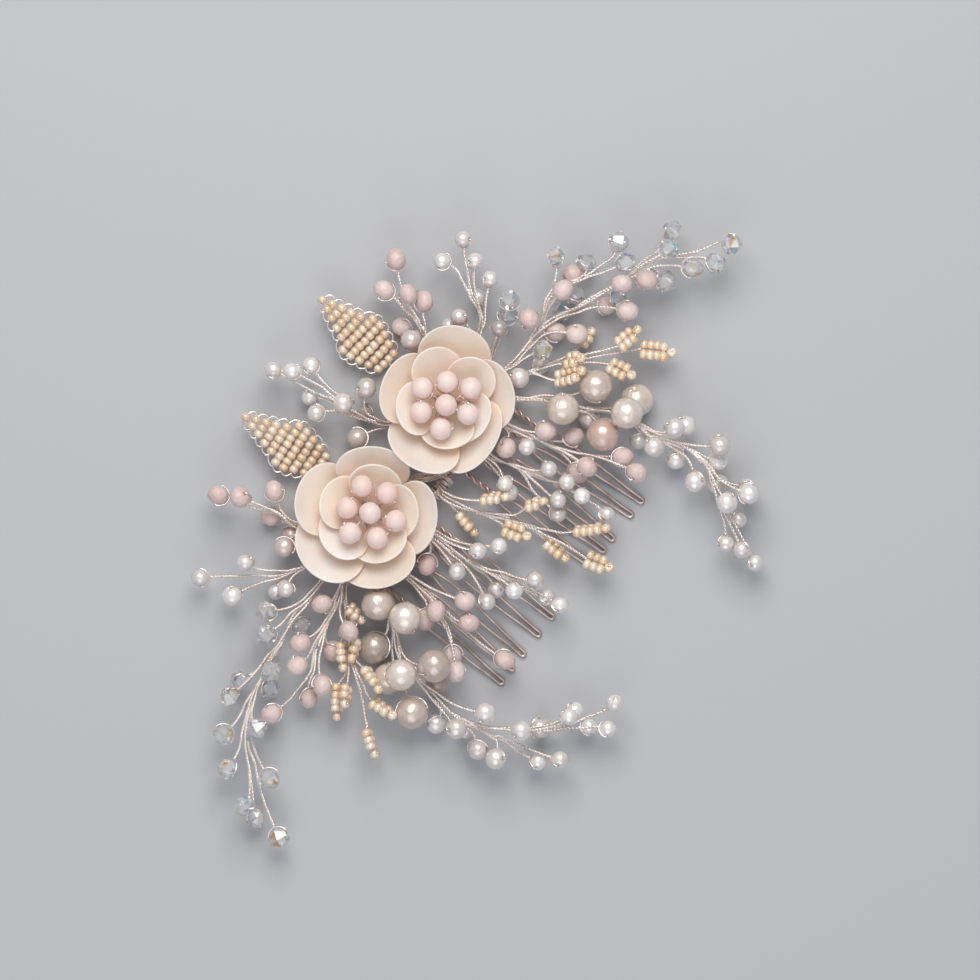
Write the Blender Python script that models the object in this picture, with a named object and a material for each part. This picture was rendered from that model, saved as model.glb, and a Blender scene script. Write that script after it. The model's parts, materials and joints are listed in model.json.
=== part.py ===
# Bridal hair comb: two small wire combs bound end to end, two ten-petal flowers,
# two beaded leaves and twenty bendable wire sprays of pearls, beads and crystals.
# The comb lies flat, teeth down: X runs along the spine, the teeth point to -Y, +Z is up.

import math

import bmesh
import bpy
from mathutils import Matrix, Vector

MM = 0.001                     # sizes below are in millimetres

# Layout drawing: places are read off a plan of 4.2 drawing units per millimetre.
UNITS_PER_MM = 4.2
PLAN_CENTRE = (474.4, 517.2)   # plan point that lies at the frame's origin
SPINE_TILT = 52.3              # degrees from the plan's right to the comb's +X

# Clearances
SEAT_GAP = 0.3                 # between a piece and what carries it

# Wire combs
TEETH = 5
TOOTH_PITCH = 4.75
TOOTH_REACH = 40.5             # spine centre to tooth tip
TOOTH_WIRE = 0.9
PRONG_SPREAD = 2.9             # between the two prongs at their widest
PRONG_TIP_SPREAD = 1.5
PRONG_ROOT = 0.34              # share of the spread where the prongs leave the twist
PRONG_WAIST = 0.9              # and two thirds of the way to the tip
TWIST_LENGTH = 9.0             # twisted root between the spine and the prongs
TWIST_DIA = 1.9
SPINE_Y = 10.7
SPINE_END = 2.2                # spine beyond its last tooth
SPINE_LENGTH = (TEETH - 1) * TOOTH_PITCH + 2 * SPINE_END
SPINE_WIDTH = 2.4
SPINE_BOTTOM = 1.2
SPINE_TOP = 3.8
SPINE_CHAMFER = 0.5
COMB_GAP = 9.8                 # between the two spines
COMB_OFFSET = (SPINE_LENGTH + COMB_GAP) / 2
COMB_SIDES = {"comb_1": 1, "comb_2": -1}
TIP_DRIFT = {                  # sideways lean of each tooth tip, from the middle outwards
    "comb_1": (1.0, 0.8, -0.5, 1.9, 1.3),
    "comb_2": (0.4, 0.9, 2.1, 1.7, 1.0),
}

# Binding between the combs
BINDING_WIRE = 0.6
BINDING_TURNS = 7
TURN_POINTS = 9
CORE_DIA = 2.4

# Flowers
BASE_WALL = 4.8                # height of the round wall of a flower's backing
SHOULDER_TOP = 5.6
SHOULDER_RADIUS = 5.2
BOSS_TOP = 7.4
BOSS_RADIUS = 3.6
PETAL_THICKNESS = 0.5
PETAL_PINWHEEL = 0.18          # rise per millimetre of arc, so that each petal laps the next
OUTER_START = 4.3
OUTER_RISE = 4.5
OUTER_HALF_ANGLE = 46.0
INNER_START = 2.5
INNER_RISE = 6.4
INNER_HALF_ANGLE = 44.0
PETAL_CURVE = 1.5              # power of the petals' upward curve
PETAL_NECK = 0.54              # share of a petal's half angle at its root
PETAL_BULGE = 1.96             # how fast it widens from there
PETAL_NARROW = 2.06            # and how fast it narrows to its end
PETAL_ROUND = 0.1              # how far its corners fall short of its end
PETAL_ROWS = 4
PETAL_COLUMNS = 5
STAMEN_RING = 5.7
STAMEN_HEIGHT = 15.0
STAMEN_FORK = 9.6
STAMENS = 6
BACKING_SIDES = 16
FLOWERS = {                    # petals: heading in degrees from +X, reach in millimetres
    "flower_1": {
        "plan": (446, 405),
        "stamen_turn": -26,    # heading of the first stamen, in degrees
        "outer": ((31, 18.6), (98, 16.2), (187, 16.0), (258, 16.0), (319, 16.6)),
        "inner": ((-5, 13.2), (59, 13.0), (136, 11.8), (218, 11.4), (294, 11.6)),
    },
    "flower_2": {
        "plan": (370, 513),
        "stamen_turn": -6,
        "outer": ((34, 16.0), (111, 17.6), (163, 18.8), (225, 18.2), (302, 16.2)),
        "inner": ((28, 11.8), (109, 12.2), (165, 13.0), (245, 11.8), (311, 11.8)),
    },
}

# Wires and beads
TRUNK_DIA = 1.3                # bundled wires at the root of a spray
LIMB_DIA = 1.0                 # bundled wires further out
STEM_DIA = 0.9                 # one twisted pair
BEADS = {                      # diameters
    "small_pearl": 4.1,
    "pearl": 5.0,
    "large_pearl": 7.8,
    "pink_bead": 5.3,
    "crystal": 5.0,
    "seed_bead": 2.1,
}
TUBE_SIDES = 5
LARGE_SIDES = 8
STAGGER = 1.1                  # between stems that leave a limb at the same point
STAGGER_LIMIT = 0.8            # share of a limb's span that they may take
FLAT_ANGLE = math.radians(1)   # faces that differ by less are one flat face
LARGE_FROM = 7.0               # beads of this diameter or more get the finer mesh
LARGE_PROFILE = ((-0.82, 0.6), (-0.3, 0.97), (0.3, 0.97), (0.82, 0.6), (1.0, 0.0))
SMALL_PROFILE = ((-0.48, 0.95), (0.48, 0.95), (1.0, 0.0))   # along and across, in radii

# Beaded leaves: rows of seed beads across a midrib of wire
LEAF_ROW_PITCH = 2.15
LEAF_ROWS = 10
LEAF_WIDTH = 10.6
LEAF_BEAD = 2.0
LEAF_CORNER = 0.45             # bevel at the ends of each row
LEAF_TIP_ANGLE = 18.0          # part of a sine wave that the leaf's outline follows, in degrees
LEAF_ROOT_ANGLE = 147.6
LEAVES = {
    "leaf_1": {"flower": "flower_1", "tip": (322, 299, 6.5), "root": (396, 371, 3.4)},
    "leaf_2": {"flower": "flower_2", "tip": (245, 417, 6.5), "root": (333, 474, 3.4)},
}

# Sprays. A seat says what carries the root: a flower's backing at a height, a comb's spine at a
# share of its half length, the binding, or the end of another spray. A limb is a row of plan
# points with heights in millimetres, and all but the first limb start at (limb, point) of an
# earlier one. A tip is (limb, point, bead, x, y, z). A row of seed beads is (limb, point,
# first x, y, z, last x, y, z). Point 0 of a limb is where it starts.
SPRAYS = {
    "crystal_trail_right": {
        "seat": ("flower_1", 4.0),
        "limbs": [
            [(515, 361, 4.8), (541, 328, 6.5), (580, 305, 8), (610, 288, 9), (648, 262, 9.5),
             (690, 254, 10), (716, 248, 10.5)],
            [(0, 2), (550, 300, 9), (582, 279, 10), (606, 268, 10.5)],
        ],
        "tips": [
            (0, 1, "crystal", 543, 350, 9), (1, 1, "crystal", 556, 256, 11),
            (1, 2, "crystal", 586, 263, 4.2), (1, 3, "crystal", 619, 241, 12),
            (1, 3, "crystal", 626, 262, 12), (0, 5, "crystal", 672, 230, 9),
            (0, 5, "crystal", 669, 249, 13), (0, 5, "crystal", 666, 282, 7),
            (0, 5, "crystal", 693, 268, 11), (0, 6, "crystal", 716, 264, 8),
            (0, 7, "crystal", 732, 244, 11), (1, 1, "crystal", 575, 295, 4.7),
            (0, 2, "crystal", 563, 311, 2.8), (0, 4, "crystal", 618, 297, 6.9),
            (1, 2, "pink_bead", 572, 275, 7.0), (1, 1, "pink_bead", 563, 290, 13),
            (0, 4, "pink_bead", 622, 284, 13.4), (0, 5, "pink_bead", 647, 280, 11),
            (0, 3, "pink_bead", 605, 306, 3.2), (0, 3, "pink_bead", 628, 311, 10.4),
            (0, 2, "pink_bead", 529, 319, 10), (0, 2, "pink_bead", 556, 332, 4.5),
            (0, 2, "pink_bead", 577, 334, 9),
        ],
    },
    "crystal_sprig_top": {
        "seat": ("flower_1", 1.6),
        "limbs": [
            [(490, 361, 3.6), (498, 346, 6)],
        ],
        "tips": [
            (0, 2, "crystal", 510, 300, 11), (0, 2, "crystal", 508, 314, 6),
            (0, 2, "small_pearl", 499, 328, 10),
        ],
    },
    "gold_sprig_right": {
        "seat": ("flower_1", 1.4),
        "limbs": [
            [(512, 381, 2.4), (530, 372, 4), (556, 364, 6), (588, 358, 8.5)],
            [(0, 2), (553, 378, 7)],
        ],
        "tips": [
            (0, 1, "pearl", 519, 378, 6.6), (0, 2, "small_pearl", 541, 365, 2.3),
        ],
        "rows": [
            (0, 4, 618, 346, 10, 641, 327, 11), (0, 4, 640, 345, 8.5, 675, 349, 8),
            (0, 4, 641, 353, 6, 672, 357, 5.5), (0, 4, 610, 361, 8, 640, 375, 8),
            (0, 4, 608, 368, 7, 636, 382, 9.5), (0, 3, 580, 346, 4, 595, 327, 3.5),
            (0, 3, 566, 361, 9, 586, 357, 12), (1, 1, 556, 380, 8, 587, 369, 13),
        ],
    },
    "ivory_spray_right": {
        "seat": ("comb_1", 0.94),
        "limbs": [
            [(524, 399, 5.4), (545, 399, 5.4), (580, 407, 5.2), (612, 412, 6), (632, 420, 6.5)],
        ],
        "tips": [
            (0, 2, "large_pearl", 596, 386, 9.5), (0, 2, "large_pearl", 563, 409, 11.6),
            (0, 4, "large_pearl", 637, 400, 4.6), (0, 4, "large_pearl", 627, 413, 12.5),
            (0, 3, "large_pearl", 603, 435, 8.5), (0, 3, "pearl", 590, 419, 2.8),
        ],
    },
    "pearl_trail_right": {
        "seat": ("ivory_spray_right", 0),
        "limbs": [
            [(655, 437, 7.5), (684, 447, 8.5), (703, 462, 8.5), (713, 481, 8.5), (725, 504, 8.5)],
        ],
        "tips": [
            (0, 1, "pearl", 654, 447, 12), (0, 1, "pearl", 675, 428, 12), (0, 1, "pearl", 686, 426, 7),
            (0, 1, "small_pearl", 638, 441, 4.5), (0, 2, "pearl", 676, 459, 4.5),
            (0, 2, "pearl", 695, 482, 8.5), (0, 2, "pearl", 720, 446, 11.5),
            (0, 3, "pearl", 718, 461, 6.5), (0, 4, "pearl", 718, 484, 4),
            (0, 4, "pearl", 727, 503, 12.5), (0, 4, "small_pearl", 747, 487, 5.5),
            (0, 4, "pearl", 749, 494, 10.5), (0, 5, "small_pearl", 738, 520, 5),
            (0, 5, "small_pearl", 726, 544, 8), (0, 5, "small_pearl", 742, 550, 9),
            (0, 5, "small_pearl", 755, 563, 6.5),
        ],
    },
    "pink_spray_right": {
        "seat": ("comb_1", 0.48),
        "limbs": [
            [(513, 429, 5.6), (535, 437, 6.6), (560, 447, 7.5), (583, 450, 8)],
        ],
        "tips": [
            (0, 1, "pink_bead", 546, 431, 9.2), (0, 3, "pink_bead", 574, 437, 5.6),
            (0, 1, "pink_bead", 506, 448, 8), (0, 4, "pink_bead", 623, 457, 9),
            (0, 4, "pink_bead", 637, 473, 12), (0, 3, "pink_bead", 587, 467, 12),
            (0, 3, "pink_bead", 578, 473, 6), (0, 2, "small_pearl", 527, 447, 10),
        ],
    },
    "pearl_spray_right": {
        "seat": ("comb_1", -0.17),
        "limbs": [
            [(492, 457, 5.4), (520, 468, 6), (547, 480, 6.6), (575, 493, 7), (592, 507, 7)],
            [(0, 2), (540, 489, 6)],
        ],
        "tips": [
            (0, 2, "small_pearl", 549, 469, 11), (0, 3, "small_pearl", 567, 482, 11),
            (0, 4, "small_pearl", 582, 496, 11), (0, 5, "small_pearl", 607, 515, 8),
            (0, 1, "small_pearl", 505, 484, 9.6), (0, 1, "small_pearl", 510, 493, 5.9),
            (1, 1, "small_pearl", 558, 500, 9.5), (1, 1, "small_pearl", 558, 514, 6),
        ],
    },
    "gold_sprig_middle": {
        "seat": ("binding", 0.0),
        "limbs": [
            [(445, 498, 6.5), (466, 508, 7), (485, 513, 7.5), (506, 518, 8), (530, 526, 8.6),
             (553, 534, 9)],
        ],
        "tips": [],
        "rows": [
            (0, 1, 481, 500, 10.5, 513, 496, 12.5), (0, 4, 526, 507, 12, 548, 500, 13),
            (0, 1, 458, 513, 4.5, 478, 537, 4.5), (0, 4, 504, 523, 10.5, 534, 534, 12),
            (0, 4, 503, 531, 5.5, 531, 543, 5.5), (0, 5, 546, 541, 6, 570, 562, 6),
            (0, 6, 574, 531, 11, 609, 528, 12), (0, 6, 587, 554, 9.5, 616, 567, 9.5),
            (0, 6, 584, 562, 6.5, 617, 575, 6),
        ],
    },
    "pearl_spray_middle": {
        "seat": ("comb_2", 0.63),
        "limbs": [
            [(437, 539, 5.6), (456, 553, 6.2), (480, 567, 7), (503, 577, 7.5), (523, 590, 7.5)],
        ],
        "tips": [
            (0, 1, "small_pearl", 478, 551, 10), (0, 1, "small_pearl", 499, 546, 8),
            (0, 1, "small_pearl", 457, 572, 9.5), (0, 4, "small_pearl", 535, 580, 10.5),
            (0, 3, "small_pearl", 496, 590, 4.5), (0, 4, "small_pearl", 514, 591, 11.5),
            (0, 5, "small_pearl", 546, 597, 5.5), (0, 5, "small_pearl", 560, 605, 8),
            (0, 2, "small_pearl", 487, 602, 8.5), (0, 1, "pink_bead", 426, 564, 6.7),
        ],
    },
    "pink_spray_bottom": {
        "seat": ("comb_2", -0.39),
        "limbs": [
            [(407, 577, 5.6), (430, 596, 6), (447, 615, 6.5), (466, 635, 7)],
        ],
        "tips": [
            (0, 1, "pink_bead", 465, 601, 12), (0, 3, "pink_bead", 469, 623, 11),
            (0, 2, "pink_bead", 436, 611, 11), (0, 2, "pink_bead", 425, 620, 6),
            (0, 3, "pink_bead", 453, 656, 5.2), (0, 3, "pink_bead", 456, 672, 9.0),
            (0, 4, "pink_bead", 505, 660, 7),
        ],
    },
    "ivory_spray_bottom": {
        "seat": ("comb_2", -0.92),
        "limbs": [
            [(390, 596, 4.8), (394, 628, 4.4), (398, 653, 4.6), (411, 672, 6)],
        ],
        "tips": [
            (0, 1, "large_pearl", 378, 604, 8.2), (0, 2, "large_pearl", 405, 618, 11.5),
            (0, 2, "large_pearl", 374, 648, 4.2), (0, 3, "large_pearl", 401, 675, 12.5),
            (0, 3, "large_pearl", 388, 679, 4.2), (0, 3, "large_pearl", 434, 666, 13.3),
            (0, 3, "pearl", 437, 684, 4.2), (0, 3, "large_pearl", 412, 713, 8.8),
        ],
    },
    "pearl_trail_bottom": {
        "seat": ("ivory_spray_bottom", 0),
        "limbs": [
            [(440, 703, 7.5), (470, 724, 8.5), (510, 729, 9), (545, 731, 9), (588, 721, 8.5)],
            [(0, 2), (495, 735, 8), (522, 748, 7)],
        ],
        "tips": [
            (0, 1, "pearl", 435, 723, 4.2), (0, 1, "pearl", 456, 729, 12),
            (0, 2, "small_pearl", 465, 730, 4), (0, 1, "pearl", 485, 713, 12),
            (0, 2, "pearl", 478, 750, 6), (1, 1, "pearl", 496, 759, 9), (0, 3, "pearl", 521, 731, 13),
            (0, 3, "pearl", 540, 728, 5), (1, 2, "small_pearl", 538, 762, 6),
            (1, 2, "small_pearl", 560, 760, 8.5), (0, 4, "small_pearl", 569, 717, 12),
            (0, 4, "small_pearl", 575, 710, 6.5), (0, 4, "small_pearl", 589, 727, 4.5),
            (0, 5, "small_pearl", 615, 703, 9.5), (0, 5, "small_pearl", 608, 729, 7.5),
        ],
    },
    "gold_sprig_bottom": {
        "seat": ("flower_2", 1.4),
        "limbs": [
            [(352, 573, 2), (345, 592, 3), (349, 625, 5.5), (353, 662, 7), (361, 690, 7.5),
             (364, 724, 8)],
        ],
        "tips": [],
        "rows": [
            (0, 2, 348, 607, 7, 366, 625, 6), (0, 3, 341, 642, 7.5, 343, 670, 8),
            (0, 3, 357, 641, 8.2, 350, 664, 10), (0, 4, 338, 684, 6, 337, 719, 6),
            (0, 4, 347, 686, 9, 344, 710, 10.5), (0, 4, 365, 668, 12, 380, 692, 13.5),
            (0, 5, 372, 701, 9.5, 397, 719, 11), (0, 6, 366, 730, 8.5, 376, 758, 9),
        ],
    },
    "pink_spray_left": {
        "seat": ("flower_2", 4.0),
        "limbs": [
            [(345, 574, 4.4), (336, 604, 6), (325, 627, 7), (316, 648, 7.5), (310, 672, 8),
             (290, 692, 7.5)],
        ],
        "tips": [
            (0, 2, "pink_bead", 322, 604, 9), (0, 2, "pink_bead", 349, 631, 11.5),
            (0, 3, "pink_bead", 334, 651, 4), (0, 3, "pink_bead", 300, 643, 11),
            (0, 4, "pink_bead", 297, 666, 12), (0, 4, "pink_bead", 322, 686, 10),
            (0, 5, "pink_bead", 308, 698, 5), (0, 6, "pink_bead", 271, 714, 6.5),
        ],
    },
    "crystal_trail_left": {
        "seat": ("flower_2", 4.0),
        "limbs": [
            [(328, 571, 4.4), (312, 597, 6), (293, 618, 7), (281, 642, 7.5), (266, 668, 8),
             (250, 706, 8.5), (246, 735, 8.5), (249, 765, 8), (253, 797, 7.5)],
        ],
        "tips": [
            (0, 2, "crystal", 266, 612, 9), (0, 3, "crystal", 266, 635, 10),
            (0, 3, "crystal", 301, 625, 3.5), (0, 5, "crystal", 271, 671, 12),
            (0, 5, "crystal", 270, 689, 6.5), (0, 5, "crystal", 229, 697, 9.5),
            (0, 5, "crystal", 239, 681, 5), (0, 6, "crystal", 223, 735, 9),
            (0, 7, "crystal", 227, 769, 8.5), (0, 6, "crystal", 257, 729, 12.5),
            (0, 7, "crystal", 270, 779, 10), (0, 9, "crystal", 243, 806, 10),
            (0, 9, "crystal", 255, 818, 5), (0, 8, "crystal", 279, 838, 6.5),
        ],
    },
    "pearl_spray_left": {
        "seat": ("flower_2", 1.6),
        "limbs": [
            [(317, 555, 3), (300, 568, 4.4), (272, 575, 6), (240, 573, 7)],
        ],
        "tips": [
            (0, 4, "small_pearl", 200, 578, 7), (0, 3, "small_pearl", 245, 563, 10.5),
            (0, 3, "pearl", 232, 596, 7.5), (0, 2, "small_pearl", 286, 589, 7.5),
            (0, 2, "small_pearl", 276, 592, 3.4),
        ],
    },
    "pink_sprig_left": {
        "seat": ("flower_2", 4.0),
        "limbs": [
            [(298, 527, 5), (276, 513, 7.5), (253, 504, 8.5)],
        ],
        "tips": [
            (0, 3, "pink_bead", 218, 495, 8), (0, 3, "pink_bead", 240, 497, 11.5),
            (0, 1, "pink_bead", 274, 491, 9.5), (0, 1, "pink_bead", 271, 516, 3.6),
            (0, 1, "pearl", 284, 547, 7.5), (0, 1, "pearl", 291, 536, 3),
        ],
    },
    "pearl_spray_top": {
        "seat": ("flower_1", 2.4),
        "limbs": [
            [(388, 424, 3.4), (371, 421, 5), (350, 412, 7), (334, 400, 7.5), (314, 389, 8)],
        ],
        "tips": [
            (0, 5, "small_pearl", 273, 370, 7.5), (0, 5, "small_pearl", 292, 371, 9.5),
            (0, 4, "small_pearl", 311, 365, 8), (0, 4, "small_pearl", 310, 397, 4),
            (0, 3, "small_pearl", 316, 413, 8), (0, 3, "pearl", 343, 403, 11.5),
            (0, 2, "pearl", 366, 388, 8.5), (0, 2, "small_pearl", 365, 411, 3),
            (0, 1, "pearl", 357, 438, 4.6),
        ],
    },
    "pink_sprig_top": {
        "seat": ("flower_1", 4.0),
        "limbs": [
            [(428, 345, 4.8), (418, 322, 7), (404, 302, 8)],
        ],
        "tips": [
            (0, 3, "pink_bead", 396, 259, 9), (0, 3, "pink_bead", 384, 290, 8),
            (0, 3, "pink_bead", 408, 294, 12), (0, 2, "pink_bead", 424, 301, 8.5),
            (0, 1, "pink_bead", 402, 327, 4.5), (0, 1, "pearl", 409, 341, 8.5),
        ],
    },
    "pearl_sprig_top": {
        "seat": ("flower_1", 4.0),
        "limbs": [
            [(474, 345, 4.8), (481, 320, 7), (472, 298, 8.5), (464, 272, 9)],
        ],
        "tips": [
            (0, 4, "small_pearl", 463, 239, 10), (0, 4, "small_pearl", 442, 261, 9),
            (0, 3, "small_pearl", 475, 261, 11.5), (0, 2, "small_pearl", 490, 279, 9),
            (0, 3, "small_pearl", 478, 297, 5), (0, 1, "small_pearl", 459, 317, 8),
            (0, 1, "small_pearl", 449, 326, 4),
        ],
    },
}

COLOURS = {                    # linear base colour, roughness, metallic
    "comb_wire": ((0.38, 0.28, 0.27), 0.35, 1.0),
    "binding_wire": ((0.62, 0.50, 0.45), 0.3, 1.0),
    "petal_clay": ((0.87, 0.72, 0.61), 0.35, 0.0),
    "felt": ((0.75, 0.66, 0.60), 0.9, 0.0),
    "pearl": ((0.80, 0.77, 0.75), 0.25, 0.0),
    "ivory_pearl": ((0.70, 0.61, 0.54), 0.25, 0.0),
    "pink_bead": ((0.76, 0.59, 0.57), 0.45, 0.0),
    "crystal": ((0.85, 0.83, 0.85), 0.08, 0.0),
    "gold_bead": ((0.79, 0.58, 0.35), 0.25, 0.0),
}
SPRAY_FINISHES = {             # by the first word of a spray's name
    "crystal": "crystal",
    "gold": "gold_bead",
    "ivory": "ivory_pearl",
    "pearl": "pearl",
    "pink": "pink_bead",
}


def place(x, y, z):
    """Frame position in millimetres of a plan point at height z."""
    tilt = math.radians(SPINE_TILT)
    right = (x - PLAN_CENTRE[0]) / UNITS_PER_MM
    up = (PLAN_CENTRE[1] - y) / UNITS_PER_MM
    x = right * math.cos(tilt) + up * math.sin(tilt)
    y = up * math.cos(tilt) - right * math.sin(tilt)
    return Vector((x, y, z))


def material(name):
    """One Principled material for each finish."""
    if name in bpy.data.materials:
        return bpy.data.materials[name]
    colour, roughness, metallic = COLOURS[name]
    finish = bpy.data.materials.new(name)
    finish.use_nodes = True
    shader = finish.node_tree.nodes["Principled BSDF"]
    shader.inputs["Base Color"].default_value = (*colour, 1.0)
    shader.inputs["Roughness"].default_value = roughness
    shader.inputs["Metallic"].default_value = metallic
    return finish


def add_object(name, shape, finish, origin, parent=None):
    """Make an object of a bmesh in frame millimetres, with its own origin point in the frame."""
    bmesh.ops.recalc_face_normals(shape, faces=shape.faces)
    bmesh.ops.transform(shape, matrix=Matrix.Scale(MM, 4) @ Matrix.Translation(-origin), verts=shape.verts)
    mesh = bpy.data.meshes.new(name)
    shape.to_mesh(mesh)
    shape.free()
    mesh.materials.append(material(finish))
    piece = bpy.data.objects.new(name, mesh)
    bpy.context.scene.collection.objects.link(piece)
    piece.location = origin * MM
    if parent:
        piece.parent = parent
        piece.location = origin * MM - parent.location
    return piece


def tube(points, radii, sides):
    """Closed round tube through points, one radius at each."""
    shape = bmesh.new()
    ahead = (points[1] - points[0]).normalized()
    across = ahead.orthogonal().normalized()
    rings = []
    for index, point in enumerate(points):
        before = points[max(index - 1, 0)]
        after = points[min(index + 1, len(points) - 1)]
        ahead = (after - before).normalized()
        across = (across - ahead * across.dot(ahead)).normalized()
        beside = ahead.cross(across)
        ring = []
        for side in range(sides):
            angle = 2 * math.pi * side / sides
            offset = across * math.cos(angle) + beside * math.sin(angle)
            ring.append(shape.verts.new(point + offset * radii[index]))
        rings.append(ring)
    for near, far in zip(rings, rings[1:]):
        for side in range(sides):
            nextside = (side + 1) % sides
            shape.faces.new((near[side], near[nextside], far[nextside], far[side]))
    shape.faces.new(list(reversed(rings[0])))
    shape.faces.new(rings[-1])
    if not radii[-1]:
        bmesh.ops.remove_doubles(shape, verts=rings[-1], dist=1e-6)
    bmesh.ops.triangulate(shape, faces=shape.faces)
    return shape


def fuse(name, shapes, finish, origin, parent=None):
    """Boolean union of overlapping shapes as one object."""
    whole = add_object(name, shapes[0], finish, origin, parent)
    helpers = []
    for shape in shapes[1:]:
        helper = add_object(name + "_joined", shape, finish, origin, parent)
        union = whole.modifiers.new("union", "BOOLEAN")
        union.operation = "UNION"
        union.solver = "EXACT"
        union.object = helper
        helpers.append(helper)
    bpy.context.view_layer.update()
    graph = bpy.context.evaluated_depsgraph_get()
    fused = bpy.data.meshes.new_from_object(whole.evaluated_get(graph))
    shape = bmesh.new()
    shape.from_mesh(fused)
    bmesh.ops.dissolve_limit(shape, angle_limit=FLAT_ANGLE, verts=shape.verts, edges=shape.edges)
    bmesh.ops.triangulate(shape, faces=shape.faces)
    shape.to_mesh(fused)
    shape.free()
    whole.modifiers.clear()
    whole.data = fused
    for helper in helpers:
        bpy.data.objects.remove(helper)
    return whole


def bead_stem(start, centre, diameter, stem_radius):
    """A straight stem that ends in a round bead."""
    radius = diameter / 2
    ahead = (centre - start).normalized()
    if diameter >= LARGE_FROM:
        profile = LARGE_PROFILE
        sides = LARGE_SIDES
    else:
        profile = SMALL_PROFILE
        sides = TUBE_SIDES
    points = [start, centre - ahead * radius]
    radii = [stem_radius, stem_radius]
    for along, width in profile:
        points.append(centre + ahead * radius * along)
        radii.append(radius * width)
    return tube(points, radii, sides)


def bead_row(start, first, last):
    """A stem that ends in a row of seed beads, as one round rod."""
    radius = BEADS["seed_bead"] / 2
    ahead = (last - first).normalized()
    points = [start, first, first + ahead * radius, last - ahead * radius, last]
    radii = [STEM_DIA / 2, STEM_DIA / 2, radius, radius, radius / 2]
    return tube(points, radii, TUBE_SIDES)


def flower_centre(flower):
    x, y = FLOWERS[flower]["plan"]
    return place(x, y, 0)


def base_radius(flower):
    """A flower's backing reaches from its centre to the comb's spine."""
    spine_back = SPINE_Y + SPINE_WIDTH / 2
    return flower_centre(flower).y - spine_back - SEAT_GAP


def base_seat(flower, towards, height):
    """Where a wire meets the round wall of a flower's backing, on the side of a point."""
    centre = flower_centre(flower)
    heading = Vector((towards.x - centre.x, towards.y - centre.y, 0)).normalized()
    return centre + heading * (base_radius(flower) + SEAT_GAP) + Vector((0, 0, height))


def winding_radius():
    return CORE_DIA / 2 + SEAT_GAP + BINDING_WIRE / 2


def spine_height():
    return (SPINE_BOTTOM + SPINE_TOP) / 2


def spray_root(spray):
    """Where a spray's trunk starts, a seat gap from what carries it."""
    carrier, value = spray["seat"]
    first = place(*spray["limbs"][0][0])
    lift = SEAT_GAP + TRUNK_DIA / 2
    if carrier in FLOWERS:
        return base_seat(carrier, first, value)
    if carrier in COMB_SIDES:
        x = COMB_SIDES[carrier] * COMB_OFFSET + value * SPINE_LENGTH / 2
        return Vector((x, SPINE_Y, SPINE_TOP + lift))
    if carrier == "binding":
        return Vector((value, SPINE_Y, spine_height() + winding_radius() + BINDING_WIRE / 2 + lift))
    end = place(*SPRAYS[carrier]["limbs"][0][-1])
    return end + (first - end).normalized() * 2 * SEAT_GAP


def spray_limbs(spray):
    limbs = [[spray_root(spray)] + [place(*point) for point in spray["limbs"][0]]]
    for limb in spray["limbs"][1:]:
        parent, point = limb[0]
        limbs.append([limbs[parent][point]] + [place(*later) for later in limb[1:]])
    return limbs


def stem_start(limb, point, used):
    """Stems that share a limb point leave it one after the other, back along the limb."""
    neighbour = limb[point - 1] if point else limb[1]
    back = neighbour - limb[point]
    step = min(STAGGER * len(used), back.length * STAGGER_LIMIT)
    used.append(step)
    return limb[point] + back.normalized() * step


def add_spray(name, finish):
    """One wire spray: trunk, limbs, bead tips and rows of seed beads."""
    spray = SPRAYS[name]
    limbs = spray_limbs(spray)
    shapes = []
    for number, limb in enumerate(limbs):
        thick = (TRUNK_DIA if number == 0 else LIMB_DIA) / 2
        thin = LIMB_DIA / 2
        last = len(limb) - 1
        radii = [thick + (thin - thick) * step / last for step in range(len(limb))]
        shapes.append(tube(limb, radii, TUBE_SIDES))
    leaving = {}
    for limb, point, bead, x, y, z in spray["tips"]:
        start = stem_start(limbs[limb], point, leaving.setdefault((limb, point), []))
        shapes.append(bead_stem(start, place(x, y, z), BEADS[bead], STEM_DIA / 2))
    for limb, point, *ends in spray.get("rows", ()):
        start = stem_start(limbs[limb], point, leaving.setdefault((limb, point), []))
        shapes.append(bead_row(start, place(*ends[:3]), place(*ends[3:])))
    return fuse(name, shapes, finish, limbs[0][0])


def add_leaf(name):
    """A leaf of seed-bead rows side by side, stepped at their ends, on a wire stem."""
    leaf = LEAVES[name]
    root = place(*leaf["root"])
    tip = place(*leaf["tip"])
    seat = base_seat(leaf["flower"], root, root.z)
    along = (root - tip).normalized()
    side = Vector((0, 0, 1)).cross(along).normalized()
    up = along.cross(side)
    edge = []
    for row in range(LEAF_ROWS):
        wave = LEAF_TIP_ANGLE + (LEAF_ROOT_ANGLE - LEAF_TIP_ANGLE) * (row + 0.5) / LEAF_ROWS
        half = LEAF_WIDTH / 2 * math.sin(math.radians(wave))
        near = LEAF_ROW_PITCH * row
        far = near + LEAF_ROW_PITCH
        edge.append((near, half - LEAF_CORNER))
        edge.append((near + LEAF_CORNER, half))
        edge.append((far - LEAF_CORNER, half))
        edge.append((far, half - LEAF_CORNER))
    outline = edge + [(run, -half) for run, half in reversed(edge)]
    shape = bmesh.new()
    corners = [shape.verts.new(tip + along * run + side * half - up * LEAF_BEAD / 2) for run, half in outline]
    face = shape.faces.new(corners)
    lifted = bmesh.ops.extrude_face_region(shape, geom=[face])["geom"]
    top = [item for item in lifted if isinstance(item, bmesh.types.BMVert)]
    bmesh.ops.translate(shape, vec=up * LEAF_BEAD, verts=top)
    bmesh.ops.triangulate(shape, faces=shape.faces)
    end = tip + along * LEAF_ROW_PITCH * (LEAF_ROWS - 1)
    stem = tube([seat, root, end], [STEM_DIA / 2] * 3, TUBE_SIDES)
    return fuse(name, [shape, stem], "gold_bead", seat)


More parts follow.
